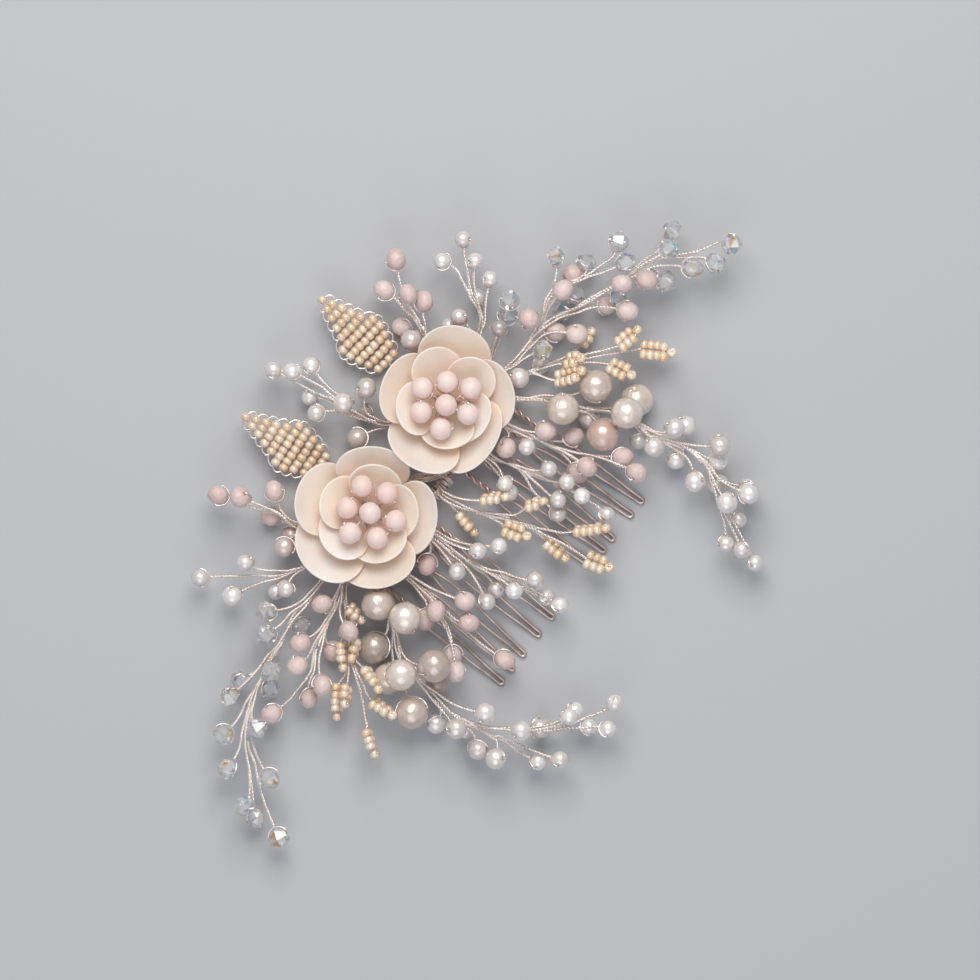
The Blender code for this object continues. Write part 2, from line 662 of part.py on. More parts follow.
def petal_shape(centre, heading, start, reach, half_angle, seat, rise):
    """A cupped petal that laps over one neighbour and under the other."""
    def point(row, column, below):
        along = row / (PETAL_ROWS - 1)
        across = 2 * column / (PETAL_COLUMNS - 1) - 1
        outline = PETAL_NECK + PETAL_BULGE * along - PETAL_NARROW * along ** 2
        angle = math.radians(half_angle) * outline * across
        radius = start + (reach - start) * along * (1 - PETAL_ROUND * across ** 2)
        lift = rise * along ** PETAL_CURVE + PETAL_PINWHEEL * radius * angle
        turn = math.radians(heading) + angle
        return centre + Vector((radius * math.cos(turn), radius * math.sin(turn), seat + lift - below))

    shape = bmesh.new()
    sheets = []
    for below in (0, PETAL_THICKNESS):
        sheet = [[shape.verts.new(point(row, column, below)) for column in range(PETAL_COLUMNS)]
                 for row in range(PETAL_ROWS)]
        for near, far in zip(sheet, sheet[1:]):
            for column in range(PETAL_COLUMNS - 1):
                shape.faces.new((near[column], near[column + 1], far[column + 1], far[column]))
        sheets.append(sheet)
    rims = []
    for sheet in sheets:
        left = [row[0] for row in reversed(sheet[1:])]
        right = [row[-1] for row in sheet[:-1]]
        rims.append(sheet[0][:-1] + right + list(reversed(sheet[-1][1:])) + left)
    edges = len(rims[0])
    for edge in range(edges):
        following = (edge + 1) % edges
        shape.faces.new((rims[0][edge], rims[1][edge], rims[1][following], rims[0][following]))
    bmesh.ops.remove_doubles(shape, verts=shape.verts, dist=1e-4)
    bmesh.ops.triangulate(shape, faces=shape.faces)
    return shape


def add_flower(name):
    """Backing, two whorls of petals and a cluster of bead stamens."""
    centre = flower_centre(name)
    frame = bpy.data.objects.new(name, None)
    frame.location = centre * MM
    bpy.context.scene.collection.objects.link(frame)

    radius = base_radius(name)
    profile = ((0, BOSS_TOP), (BOSS_RADIUS, BOSS_TOP), (BOSS_RADIUS, SHOULDER_TOP),
               (SHOULDER_RADIUS, SHOULDER_TOP), (radius, BASE_WALL), (radius, 0), (0, 0))
    shape = bmesh.new()
    corners = [shape.verts.new(centre + Vector((r, 0, z))) for r, z in profile]
    edges = [shape.edges.new(pair) for pair in zip(corners, corners[1:])]
    bmesh.ops.spin(shape, geom=corners + edges, cent=centre, axis=(0, 0, 1),
                   angle=2 * math.pi, steps=BACKING_SIDES)
    bmesh.ops.remove_doubles(shape, verts=shape.verts, dist=1e-4)
    add_object(name + "_backing", shape, "felt", centre, frame)

    whorls = (
        ("outer", OUTER_START, OUTER_HALF_ANGLE, OUTER_RISE, SHOULDER_TOP),
        ("inner", INNER_START, INNER_HALF_ANGLE, INNER_RISE, BOSS_TOP),
    )
    for whorl, start, half_angle, rise, carrier_top in whorls:
        dip = PETAL_PINWHEEL * start * math.radians(half_angle) * PETAL_NECK
        seat = carrier_top + SEAT_GAP + PETAL_THICKNESS + dip
        for number, (heading, reach) in enumerate(FLOWERS[name][whorl], 1):
            shape = petal_shape(centre, heading, start, reach, half_angle, seat, rise)
            add_object(f"{name}_{whorl}_petal_{number}", shape, "petal_clay", centre, frame)

    foot = centre + Vector((0, 0, BOSS_TOP + SEAT_GAP))
    fork = centre + Vector((0, 0, STAMEN_FORK))
    bead = BEADS["pink_bead"]
    shapes = [bead_stem(foot, centre + Vector((0, 0, STAMEN_HEIGHT + bead / 4)), bead, TRUNK_DIA / 2)]
    for stamen in range(STAMENS):
        turn = math.radians(FLOWERS[name]["stamen_turn"]) + 2 * math.pi * stamen / STAMENS
        tip = centre + Vector((STAMEN_RING * math.cos(turn), STAMEN_RING * math.sin(turn), STAMEN_HEIGHT))
        shapes.append(bead_stem(fork, tip, bead, STEM_DIA / 2))
    fuse(name + "_centre", shapes, "pink_bead", centre, frame)


def add_comb(name, side):
    """A spine bar and its hairpin teeth; side is 1 at +X and -1 at -X."""
    middle = Vector((side * COMB_OFFSET, SPINE_Y, spine_height()))
    shape = bmesh.new()
    size = Vector((SPINE_LENGTH, SPINE_WIDTH, SPINE_TOP - SPINE_BOTTOM))
    bmesh.ops.create_cube(shape, size=1, matrix=Matrix.Translation(middle) @ Matrix.Diagonal((*size, 1)))
    bmesh.ops.bevel(shape, geom=shape.edges, offset=SPINE_CHAMFER, segments=1, affect="EDGES")
    add_object(name + "_spine", shape, "comb_wire", middle)

    root_y = SPINE_Y - SPINE_WIDTH / 2 - SEAT_GAP
    prongs_y = root_y - TWIST_LENGTH
    tip_y = SPINE_Y - TOOTH_REACH
    tip_z = TOOTH_WIRE / 2
    for number in range(TEETH):
        outwards = (number - (TEETH - 1) / 2) * TOOTH_PITCH
        root = Vector((side * (COMB_OFFSET + outwards), root_y, spine_height()))
        drift = side * TIP_DRIFT[name][number]

        def along(share, spread):
            y = prongs_y + (tip_y - prongs_y) * share
            z = root.z + (tip_z - root.z) * share ** 2
            return Vector((root.x + drift * share + spread, y, z))

        half = PRONG_SPREAD / 2
        tip_half = PRONG_TIP_SPREAD / 2
        legs = ((-0.06, half * PRONG_ROOT), (0.22, half), (0.65, half * PRONG_WAIST), (0.97, tip_half))
        hairpin = [along(share, -spread) for share, spread in legs]
        hairpin += [along(1, -tip_half / 2), along(1, tip_half / 2)]
        hairpin += [along(share, spread) for share, spread in reversed(legs)]
        twist = [root, along(0, 0)]
        shapes = [
            tube(twist, [TWIST_DIA / 2] * 2, TUBE_SIDES + 1),
            tube(hairpin, [TOOTH_WIRE / 2] * len(hairpin), TUBE_SIDES),
        ]
        fuse(f"{name}_tooth_{number + 1}", shapes, "comb_wire", root)


def add_binding():
    """The core between the combs and the wire wound round it."""
    middle = Vector((0, SPINE_Y, spine_height()))
    half = COMB_OFFSET - SPINE_LENGTH / 2 - SEAT_GAP
    reach = Vector((half, 0, 0))
    shape = tube([middle - reach, middle + reach], [CORE_DIA / 2] * 2, LARGE_SIDES)
    add_object("binding_core", shape, "binding_wire", middle)

    radius = winding_radius()
    end = half - BINDING_WIRE
    count = BINDING_TURNS * TURN_POINTS
    coil = []
    for step in range(count + 1):
        angle = 2 * math.pi * step / TURN_POINTS
        x = end * (2 * step / count - 1)
        coil.append(middle + Vector((x, radius * math.cos(angle), radius * math.sin(angle))))
    first = coil[0] + (coil[0] - coil[1]).normalized() * BINDING_WIRE
    last = coil[-1] + (coil[-1] - coil[-2]).normalized() * BINDING_WIRE
    route = [first] + coil + [last]
    gaps = []
    for index, near in enumerate(coil):
        gaps += [(near - far).length - BINDING_WIRE for far in coil[index + TURN_POINTS // 2:]]
    print(f"binding wire: least gap to itself {min(gaps):.2f} mm")
    shape = tube(route, [BINDING_WIRE / 2] * len(route), TUBE_SIDES + 1)
    add_object("binding_wire", shape, "binding_wire", middle)


def main():
    for leftover in list(bpy.data.objects):
        bpy.data.objects.remove(leftover)
    for comb, side in COMB_SIDES.items():
        add_comb(comb, side)
    add_binding()
    for flower in FLOWERS:
        add_flower(flower)
    for leaf in LEAVES:
        add_leaf(leaf)
    for spray in SPRAYS:
        add_spray(spray, SPRAY_FINISHES[spray.split("_")[0]])


main()
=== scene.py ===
# Bridal hair comb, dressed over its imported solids: two wire combs bound end to end, two clay
# flowers, two beaded leaves and twenty wire sprays of pearls, frosted beads and crystals.
# Shapes are worked out in millimetres and made metres when a piece is finished.

import json
import math
import random

import bpy
from mathutils import Matrix, Vector

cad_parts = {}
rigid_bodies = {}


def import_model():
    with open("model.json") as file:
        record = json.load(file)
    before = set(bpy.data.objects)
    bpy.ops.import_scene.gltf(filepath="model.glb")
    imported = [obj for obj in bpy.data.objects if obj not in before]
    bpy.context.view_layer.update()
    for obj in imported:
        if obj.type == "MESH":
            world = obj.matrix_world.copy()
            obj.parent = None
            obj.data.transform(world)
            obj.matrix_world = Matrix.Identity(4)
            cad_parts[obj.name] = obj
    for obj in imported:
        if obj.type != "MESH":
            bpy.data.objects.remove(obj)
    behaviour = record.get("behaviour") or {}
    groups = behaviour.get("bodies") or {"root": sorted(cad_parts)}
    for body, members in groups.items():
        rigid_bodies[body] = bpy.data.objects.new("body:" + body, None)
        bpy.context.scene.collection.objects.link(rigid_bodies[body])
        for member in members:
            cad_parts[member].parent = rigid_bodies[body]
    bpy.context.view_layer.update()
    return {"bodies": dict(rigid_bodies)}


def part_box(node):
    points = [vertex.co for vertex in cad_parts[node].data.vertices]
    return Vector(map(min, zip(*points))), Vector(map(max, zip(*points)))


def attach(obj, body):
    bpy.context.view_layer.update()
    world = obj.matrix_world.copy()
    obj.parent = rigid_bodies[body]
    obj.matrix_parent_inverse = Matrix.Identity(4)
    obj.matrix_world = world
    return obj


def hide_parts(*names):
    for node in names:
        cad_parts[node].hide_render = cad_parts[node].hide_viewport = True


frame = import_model()
draw = random.Random(11)
metre = 1000                    # millimetres
upward = Vector((0, 0, 1))
print("frame loaded")

layout = {
    "unitsPerMm": 4.2,          # the drawing's units are the photo's pixels
    "centre": (474.4, 517.2),   # drawing point over the frame's origin
    "spineTilt": 52.3,          # degrees from the drawing's right to the comb's +X
    "seatGap": 0.3,             # between a root and the spine or binding that carries it
    "padGap": 0.6,              # between a root and a flower's pad or another spray
}


def plan(x, y, z):              # a drawing point at a height
    tilt = math.radians(layout["spineTilt"])
    right = (x - layout["centre"][0]) / layout["unitsPerMm"]
    up = (layout["centre"][1] - y) / layout["unitsPerMm"]
    along = right * math.cos(tilt) + up * math.sin(tilt)
    return Vector((along, up * math.cos(tilt) - right * math.sin(tilt), z))


def nodeBox(node):              # middle and half size of a CAD node
    low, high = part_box(node)
    return (low + high) / 2 * metre, (high - low) / 2 * metre


def bodyOf(node):
    return node if node in frame["bodies"] else "comb"


def mixed(a, b, share):
    return a + (b - a) * share


def jitter(amount):             # a small random offset
    return Vector([draw.uniform(-amount, amount) for axis in range(3)])


# Modelling helpers

def startFresh():               # nothing selected, object mode
    if bpy.context.object and bpy.context.object.mode != "OBJECT":
        bpy.ops.object.mode_set(mode="OBJECT")
    bpy.ops.object.select_all(action="DESELECT")


def takeUp(obj):                # the only selected and active object
    startFresh()
    obj.select_set(True)
    bpy.context.view_layer.objects.active = obj


def editAll():                  # edit mode with everything selected
    bpy.ops.object.mode_set(mode="EDIT")
    bpy.ops.mesh.select_all(action="SELECT")


def leaveEdit():                # object mode, shaded smooth
    bpy.ops.object.mode_set(mode="OBJECT")
    bpy.ops.object.shade_smooth()


def pickEnd(obj, height, end=1, slack=0.01):    # in edit mode, selects the faces from a height up or down
    bpy.ops.mesh.select_mode(type="FACE")
    bpy.ops.mesh.select_all(action="DESELECT")
    bpy.ops.object.mode_set(mode="OBJECT")
    for face in obj.data.polygons:
        face.select = face.center.z * end > height - slack
    bpy.ops.object.mode_set(mode="EDIT")


def applyModifier(obj, kind, **settings):
    takeUp(obj)
    modifier = obj.modifiers.new(kind.title(), kind)
    for name, value in settings.items():
        setattr(modifier, name, value)
    bpy.ops.object.modifier_apply(modifier=modifier.name)


def drawWires(routes, radius, resolution=1):    # a mesh of tubes along routes
    curve = bpy.data.curves.new("wires", "CURVE")
    curve.dimensions = "3D"
    curve.bevel_depth = radius
    curve.bevel_resolution = resolution
    curve.use_fill_caps = True
    for points in routes:
        spline = curve.splines.new("POLY")
        spline.points.add(len(points) - 1)
        spline.points.foreach_set("co", [value for point in points for value in (*point, 1)])
    wires = bpy.data.objects.new("wires", curve)
    bpy.context.collection.objects.link(wires)
    takeUp(wires)
    bpy.ops.object.convert(target="MESH")
    bpy.ops.object.shade_smooth()
    return bpy.context.object


def setCopy(master, spot, tone=None):           # a copy with its own mesh, placed in the mesh
    copy = master.copy()
    copy.data = master.data.copy()
    bpy.context.collection.objects.link(copy)
    copy.data.transform(spot)
    if tone:
        paint = copy.data.attributes.new("tone", "FLOAT_COLOR", "POINT")
        paint.data.foreach_set("color", list(hexColour(tone)) * len(copy.data.vertices))
    return copy


def gather(copies):             # joins copies into one object
    startFresh()
    for copy in copies:
        copy.select_set(True)
    bpy.context.view_layer.objects.active = copies[0]
    bpy.ops.object.join()
    return bpy.context.object


def finishPiece(obj, name, finish, slot, node):
    obj.name = name
    obj.data.name = name
    obj.data.transform(Matrix.Scale(1 / metre, 4))
    obj.data.materials.clear()
    obj.data.materials.append(finish)
    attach(obj, bodyOf(node))
    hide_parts(node)


# Routes of wire

def curveAt(points, share):     # smooth curve through points; share counts points
    last = len(points) - 1
    index = min(int(share), last - 1)
    t = share - index
    before = points[index - 1] if index else points[0] * 2 - points[1]
    after = points[index + 2] if index + 2 <= last else points[last] * 2 - points[last - 1]
    a, b = points[index], points[index + 1]
    return 0.5 * (2 * a + (b - before) * t + (2 * before - 5 * a + 4 * b - after) * t ** 2
                  + (3 * a - before - 3 * b + after) * t ** 3)


def smoothRoute(points, step):  # points about a step apart
    route = []
    for index in range(len(points) - 1):
        count = max(2, math.ceil((points[index + 1] - points[index]).length / step))
        route += [curveAt(points, index + part / count) for part in range(count)]
    return route + [points[-1]]


def evenly(points, step, shortest=0.3):     # the same path in equal steps, the last at least a share of one
    route = [points[0]]
    run = step
    for start, end in zip(points, points[1:]):
        length = (end - start).length
        while run < length:
            route.append(mixed(start, end, run / length))
            run += step
        run -= length
    if run > step * (1 - shortest):
        route.pop()
    return route + [points[-1]]


def twist(route, strands, offsets, pitch, turn=0.0):    # strands wound round a route
    ropes = [[] for strand in range(strands)]
    across = (route[1] - route[0]).orthogonal().normalized()
    last = len(route) - 1
    run = 0
    for index, point in enumerate(route):
        ahead = (route[min(index + 1, last)] - route[max(index - 1, 0)]).normalized()
        across = (across - ahead * across.dot(ahead)).normalized()
        beside = ahead.cross(across)
        run += (point - route[index - 1]).length if index else 0
        offset = mixed(offsets[0], offsets[1], index / last)
        for strand, rope in enumerate(ropes):
            angle = turn + 2 * math.pi * (run / pitch + strand / strands)
            rope.append(point + (across * math.cos(angle) + beside * math.sin(angle)) * offset)
    return ropes


# Colours and nodes

def hexColour(text):            # sRGB hex to linear
    channels = []
    for index in (1, 3, 5):
        value = int(text[index:index + 2], 16) / 255
        channels.append(value / 12.92 if value <= 0.04045 else ((value + 0.055) / 1.055) ** 2.4)
    return (*channels, 1.0)


def setInputs(tree, node, inputs):  # an input is a value, or (node, output) to link from
    for socket, value in inputs.items():
        if isinstance(value, tuple) and isinstance(value[0], bpy.types.Node):
            tree.links.new(value[0].outputs[value[1]], node.inputs[socket])
        else:
            node.inputs[socket].default_value = value


# A Mix of colours has its share at socket 0, its colours at 6 and 7 and its result at 2. A MapRange
# has its value at 0 and maps 1 and 2 to 3 and 4.
def addNode(tree, kind, inputs=None, **settings):
    node = tree.nodes.new("ShaderNode" + kind)
    for name, value in settings.items():
        setattr(node, name, value)
    setInputs(tree, node, inputs or {})
    return node


def newMaterial(name):          # with its node tree, its shader and its coordinates
    material = bpy.data.materials.new(name)
    material.use_nodes = True
    tree = material.node_tree
    return material, tree, tree.nodes["Principled BSDF"], addNode(tree, "TexCoord")


def wireFinish(name, bright, dull, roughness):
    # Drawn and plated craft wire: hard glints along its rolled sides, duller where the plating is rubbed.
    material, tree, shader, spot = newMaterial(name)
    wearAndRimLight = addNode(tree, "TexNoise", {"Vector": (spot, "Object"), "Scale": metre / 3.0, "Detail": 3.0})
    share = addNode(tree, "MapRange", {0: (wearAndRimLight, 0), 1: 0.4, 2: 0.75})
    colour = addNode(tree, "Mix", {0: (share, 0), 6: hexColour(bright), 7: hexColour(dull)}, data_type="RGBA")
    rough = addNode(tree, "MapRange", {0: (wearAndRimLight, 0), 3: roughness - 0.06, 4: roughness + 0.1})
    setInputs(tree, shader, {"Base Color": (colour, 2), "Roughness": (rough, 0), "Metallic": 0.8})
    return material


def pearlFinish(name, shade, gloss, dent):
    # Glass bead dipped in pearl lacquer: milky depth and a wide hot spot that uneven dipping breaks up.
    material, tree, shader, spot = newMaterial(name)
    tone = addNode(tree, "Attribute", attribute_name="tone")
    swirl = addNode(tree, "TexNoise", {"Vector": (spot, "Object"), "Scale": metre / 2.4, "Detail": 1.5,
                                      "Distortion": 1.0})
    share = addNode(tree, "MapRange", {0: (swirl, 0), 1: 0.4, 2: 0.75, 3: 0.0, 4: 0.45})
    colour = addNode(tree, "Mix", {0: (share, 0), 6: (tone, "Color"), 7: hexColour(shade)}, data_type="RGBA")
    rough = addNode(tree, "MapRange", {0: (swirl, 0), 3: 0.22, 4: 0.4})
    bump = addNode(tree, "Bump", {"Height": (swirl, 0), "Strength": 0.9, "Distance": dent / metre})
    setInputs(tree, shader, {
        "Base Color": (colour, 2), "Roughness": (rough, 0), "Normal": (bump, 0), "Coat Normal": (bump, 0),
        "Metallic": gloss, "IOR": 1.6, "Coat Weight": 1.0, "Coat Roughness": 0.22,
        "Subsurface Weight": 0.1, "Subsurface Radius": (0.9, 0.7, 0.6), "Subsurface Scale": 0.001,
    })
    return material


def frostedFinish(name, glow, grain, depth, clear):
    # Etched glass: light spreads inside it, and the etched skin glitters in fine points.
    material, tree, shader, spot = newMaterial(name)
    tone = addNode(tree, "Attribute", attribute_name="tone")
    cloud = addNode(tree, "TexNoise", {"Vector": (spot, "Object"), "Scale": metre / 1.8, "Detail": 3.0})
    etch = addNode(tree, "TexNoise", {"Vector": (spot, "Object"), "Scale": metre / grain, "Detail": 2.0})
    colour = addNode(tree, "Mix", {0: (cloud, 0), 6: (tone, "Color"), 7: hexColour(glow)}, data_type="RGBA")
    rough = addNode(tree, "MapRange", {0: (etch, 0), 1: 0.35, 2: 0.65, 3: 0.35, 4: 0.6})
    bump = addNode(tree, "Bump", {"Height": (etch, 0), "Strength": 0.25, "Distance": 0.00004})
    setInputs(tree, shader, {
        "Base Color": (colour, 2), "Roughness": (rough, 0), "Normal": (bump, 0), "IOR": 1.5,
        "Subsurface Weight": depth, "Subsurface Radius": (2.6, 1.5, 1.3), "Subsurface Scale": 0.001,
        "Coat Weight": 0.2, "Coat Roughness": 0.2, "Transmission Weight": clear,
    })
    return material


def crystalFinish(name):
    # Cut lead glass with a rainbow coating: clear body, white glints, odd facets painted in strong colours as
    # the coating's coloured reflections.
    material, tree, shader, spot = newMaterial(name)
    facet = addNode(tree, "Attribute", attribute_name="facet")
    smear = addNode(tree, "TexNoise", {"Vector": (spot, "Object"), "Scale": metre / 1.5, "Detail": 1.0})
    rough = addNode(tree, "MapRange", {0: (smear, 0), 3: 0.0, 4: 0.05})
    setInputs(tree, shader, {
        "Base Color": (facet, "Color"), "Roughness": (rough, 0),
        "IOR": 1.7, "Transmission Weight": 0.72, "Coat Weight": 1.0, "Coat Roughness": 0.02,
    })
    return material


def seedFinish(name, core):
    # Lustred glass seed bead: a pearly skin with small hot spots, a warm colour from the lined hole.
    material, tree, shader, spot = newMaterial(name)
    tone = addNode(tree, "Attribute", attribute_name="tone")
    cloud = addNode(tree, "TexNoise", {"Vector": (spot, "Object"), "Scale": metre / 0.9, "Detail": 2.0})
    share = addNode(tree, "MapRange", {0: (cloud, 0), 1: 0.4, 2: 0.75, 3: 0.0, 4: 0.6})
    colour = addNode(tree, "Mix", {0: (share, 0), 6: (tone, "Color"), 7: hexColour(core)}, data_type="RGBA")
    rough = addNode(tree, "MapRange", {0: (cloud, 0), 3: 0.2, 4: 0.36})
    setInputs(tree, shader, {
        "Base Color": (colour, 2), "Roughness": (rough, 0),
        "Metallic": 0.18, "IOR": 1.5, "Coat Weight": 1.0, "Coat Roughness": 0.12,
        "Subsurface Weight": 0.4, "Subsurface Radius": (1.2, 0.8, 0.5), "Subsurface Scale": 0.001,
    })
    return material


def petalFinish(name, base, blushed, paintedRimLight):
    # Pearlised polymer clay, rolled thin: satin skin, fine veins from the thumb, a peach root that is partly
    # the clay's colour and partly a painted warm glow, and a pale rim painted on as a patchy highlight.
    material, tree, shader, spot = newMaterial(name)
    tone = addNode(tree, "Attribute", attribute_name="tone")
    split = addNode(tree, "SeparateXYZ", {0: (spot, "UV")})
    along = addNode(tree, "MapRange", {0: (split, "Y"), 1: 0.05, 2: 0.8}, interpolation_type="SMOOTHSTEP")
    edge = addNode(tree, "VectorMath", {0: (spot, "UV"), 1: (0.5, 0.5, 0.0)}, operation="DISTANCE")
    # peach towards the root: partly the clay's own colour, partly a painted warm glow of light coming through
    # the petals by the stamens
    body = addNode(tree, "Mix", {0: (along, 0), 6: hexColour(base), 7: (tone, "Color")}, data_type="RGBA")
    cloud = addNode(tree, "TexNoise", {"Vector": (spot, "Object"), "Scale": metre / 8.0, "Detail": 3.0})
    # the pale rim is a painted highlight where the petal's edge catches light, made patchy by this noise
    wearAndRimLight = addNode(tree, "MapRange", {0: (cloud, 0), 1: 0.35, 2: 0.65, 3: 0.15, 4: 0.9})
    rim = addNode(tree, "MapRange", {0: (edge, "Value"), 1: 0.478, 2: 0.503, 4: (wearAndRimLight, 0)},
                  interpolation_type="SMOOTHSTEP")
    blush = addNode(tree, "MapRange", {0: (cloud, 0), 1: 0.4, 2: 0.7, 3: 0.0, 4: 0.5})
    tinted = addNode(tree, "Mix", {0: (blush, 0), 6: (body, 2), 7: hexColour(blushed)}, data_type="RGBA")
    colour = addNode(tree, "Mix", {0: (rim, 0), 6: (tinted, 2), 7: hexColour(paintedRimLight)}, data_type="RGBA")
    stretch = addNode(tree, "Mapping", {"Vector": (spot, "UV"), "Scale": (60.0, 3.0, 1.0)})
    veins = addNode(tree, "TexNoise", {"Vector": (stretch, 0), "Scale": 1.0, "Detail": 3.0})
    bump = addNode(tree, "Bump", {"Height": (veins, 0), "Strength": 0.35, "Distance": 0.0001})
    rough = addNode(tree, "MapRange", {0: (veins, 0), 3: 0.34, 4: 0.5})
    setInputs(tree, shader, {
        "Base Color": (colour, 2), "Roughness": (rough, 0), "Normal": (bump, 0),
        "IOR": 1.48, "Coat Weight": 0.15, "Coat Roughness": 0.3, "Sheen Weight": 0.1,
        "Subsurface Weight": 0.5, "Subsurface Radius": (2.0, 1.1, 0.7), "Subsurface Scale": 0.0016,
    })
    return material


def feltFinish(name, fibre, bloom):
    # Pressed wool felt: matted fibres, no shine, a soft bloom at the edges.
    material, tree, shader, spot = newMaterial(name)
    mat = addNode(tree, "TexNoise", {"Vector": (spot, "Object"), "Scale": metre / 0.6, "Detail": 5.0,
                                    "Distortion": 1.5})
    colour = addNode(tree, "Mix", {0: (mat, 0), 6: hexColour(fibre), 7: hexColour(bloom)}, data_type="RGBA")
    bump = addNode(tree, "Bump", {"Height": (mat, 0), "Strength": 0.6, "Distance": 0.0002})
    setInputs(tree, shader, {
        "Base Color": (colour, 2), "Normal": (bump, 0),
        "Roughness": 0.95, "Sheen Weight": 0.3, "Specular IOR Level": 0.2,
    })
    return material


roseWire = wireFinish("rose_silver_wire", "#fdf6f2", "#e6d6cd", 0.22)
combWire = wireFinish("rose_plated_brass", "#d9c8c2", "#ac958f", 0.3)
pearlLacquer = pearlFinish("white_pearl_lacquer", "#cfc2bf", 0.3, 0.16)
ivoryLacquer = pearlFinish("ivory_pearl_lacquer", "#cdb9aa", 0.3, 0.26)
frostedPink = frostedFinish("frosted_pink_glass", "#ebdbd8", 0.5, 0.5, 0.1)
blushGlass = frostedFinish("blush_etched_glass", "#fae6e1", 0.35, 1.0, 0.08)
cutCrystal = crystalFinish("rainbow_cut_glass")
honeySeed = seedFinish("honey_lined_glass", "#f8ead6")
creamSeed = seedFinish("cream_lined_glass", "#f1e1cb")
petalClay = petalFinish("pearlised_clay", "#fdd5b9", "#efd2c8", "#f9efe7")
woolFelt = feltFinish("pressed_felt", "#cdbfb4", "#e6dbd2")
print("materials made")


# Masters of the beads, one unit in radius with the hole along Z

def drilledBall(segments, rings, depth, wall=0.04):
    startFresh()
    bpy.ops.mesh.primitive_uv_sphere_add(segments=segments, ring_count=rings, radius=1)
    ball = bpy.context.object
    mouth = math.cos(math.pi / rings)       # height of the ring next to a pole
    bpy.ops.object.mode_set(mode="EDIT")
    for end in (1, -1):         # the fan of faces at each pole becomes the drilled hole
        pickEnd(ball, mouth, end)
        bpy.ops.mesh.inset(thickness=wall)
        bpy.ops.transform.translate(value=(0, 0, -end * depth))
    leaveEdit()
    return ball


# Rings are (height, radius, turn in half steps), mirrored below the middle
def cutBead(sides, rings, softEdge, mouth=0.4, depth=0.3):
    startFresh()
    bpy.ops.mesh.primitive_circle_add(vertices=sides, radius=rings[0][1])
    bead = bpy.context.object
    bpy.ops.object.mode_set(mode="EDIT")
    for height, radius, turn in rings[1:]:
        for end in (1, -1):
            bpy.ops.mesh.primitive_circle_add(vertices=sides, radius=radius, location=(0, 0, end * height),
                                              rotation=(0, 0, turn * math.pi / sides))
    bpy.ops.mesh.select_all(action="SELECT")
    bpy.ops.mesh.convex_hull(face_threshold=math.radians(1), shape_threshold=math.radians(1))
    topHeight, topRadius = rings[-1][:2]
    for end in (1, -1):         # the end facets sink to the hole
        pickEnd(bead, topHeight, end)
        bpy.ops.mesh.dissolve_faces()
        bpy.ops.mesh.inset(thickness=topRadius * mouth)
        bpy.ops.transform.translate(value=(0, 0, -end * depth))
    bpy.ops.object.mode_set(mode="OBJECT")
    if softEdge:
        applyModifier(bead, "BEVEL", width=softEdge, segments=2, limit_method="ANGLE",
                      angle_limit=math.radians(8))
        bpy.ops.object.shade_smooth()
    return bead


def seedBead(ring, tube, long):
    startFresh()
    bpy.ops.mesh.primitive_torus_add(major_segments=12, minor_segments=6,
                                     major_radius=ring, minor_radius=tube)
    bead = bpy.context.object
    editAll()
    bpy.ops.transform.resize(value=(1, 1, long))
    leaveEdit()
    return bead


masters = {
    "pearl": drilledBall(22, 14, 0.35),
    "largePearl": drilledBall(32, 22, 0.2),
    "blush": drilledBall(26, 18, 0.25),
    "faceted": cutBead(9, ((0, 1.0, 0), (0.46, 0.9, 1), (0.8, 0.56, 2), (0.92, 0.26, 3)), 0.03),
    "bicone": cutBead(7, ((0.06, 1.0, 0), (0.9, 0.46, 0)), 0),
    "roundCrystal": cutBead(8, ((0, 1.0, 0), (0.45, 0.88, 1), (0.85, 0.46, 2)), 0),
    "seed": seedBead(0.545, 0.455, 1.75),
}
print("bead masters made")

strung = {      # the beads that a spray joins as one piece, with their finish and slot
    "pearls": (pearlLacquer, "pearl"),
    "large_pearls": (ivoryLacquer, "ivory_pearl"),
    "pink_beads": (frostedPink, "pink_bead"),
    "crystals": (cutCrystal, "crystal"),
    "seed_beads": (honeySeed, "gold_bead"),
}
beads = {       # diameter in mm, length of the hole against the diameter, and colours to draw from
    "small_pearl": {"size": 4.1, "long": 0.98, "master": "pearl", "piece": "pearls",
                    "tones": ("#f6f3f1", "#efebe9", "#faf8f6", "#e8e2e0")},
    "pearl": {"size": 5.0, "long": 0.98, "master": "pearl", "piece": "pearls",
              "tones": ("#f4f0ed", "#eee8e5", "#f7f4f2", "#e6deda")},
    "large_pearl": {"size": 7.8, "long": 0.98, "master": "largePearl", "piece": "large_pearls",
                    "tones": ("#f1e8df", "#ecdfd3", "#f4ece6")},
    "pink_bead": {"size": 5.3, "long": 0.88, "master": "faceted", "piece": "pink_beads",
                  "tones": ("#e0c9c4", "#dbc0ba", "#e6d2ce", "#d5b8b1")},
    "crystal": {"size": 5.2, "long": 0.94, "master": "bicone", "piece": "crystals", "tones": ()},
    "round_crystal": {"size": 5.3, "long": 0.9, "master": "roundCrystal", "piece": "crystals", "tones": ()},
    "seed_bead": {"size": 2.55, "long": 0.95, "master": "seed", "piece": "seed_beads",
                  "tones": ("#fadec4", "#f7d6b8", "#fbe3ce", "#f3cfac")},
    "leaf_bead": {"size": 2.34, "long": 1.02, "master": "seed", "piece": "seed_beads",
                  "tones": ("#f2d7bd", "#eecfb3", "#f5ddc6", "#e9c8a9")},
}
sizeSpread = (0.97, 1.03)       # no two beads are quite alike
# most facets are clear; the rest carry painted reflections of the rainbow coating, some faint and a few
# strong
paintedFlashTints = ("#ffffff",) * 24 + ("#f6f7fb", "#fcf7f1", "#f2f0f8") * 4
paintedFlashTints += ("#f4ab68", "#b4bff4", "#cfbcf0", "#f7eaa8", "#b2deee")


def standing(centre, axis, facing, radius, length):     # matrix of a bead with its hole on an axis
    turn = Matrix((facing, axis.cross(facing), axis)).transposed().to_4x4()
    return Matrix.Translation(centre) @ turn @ Matrix.Diagonal((radius, radius, radius * length, 1))


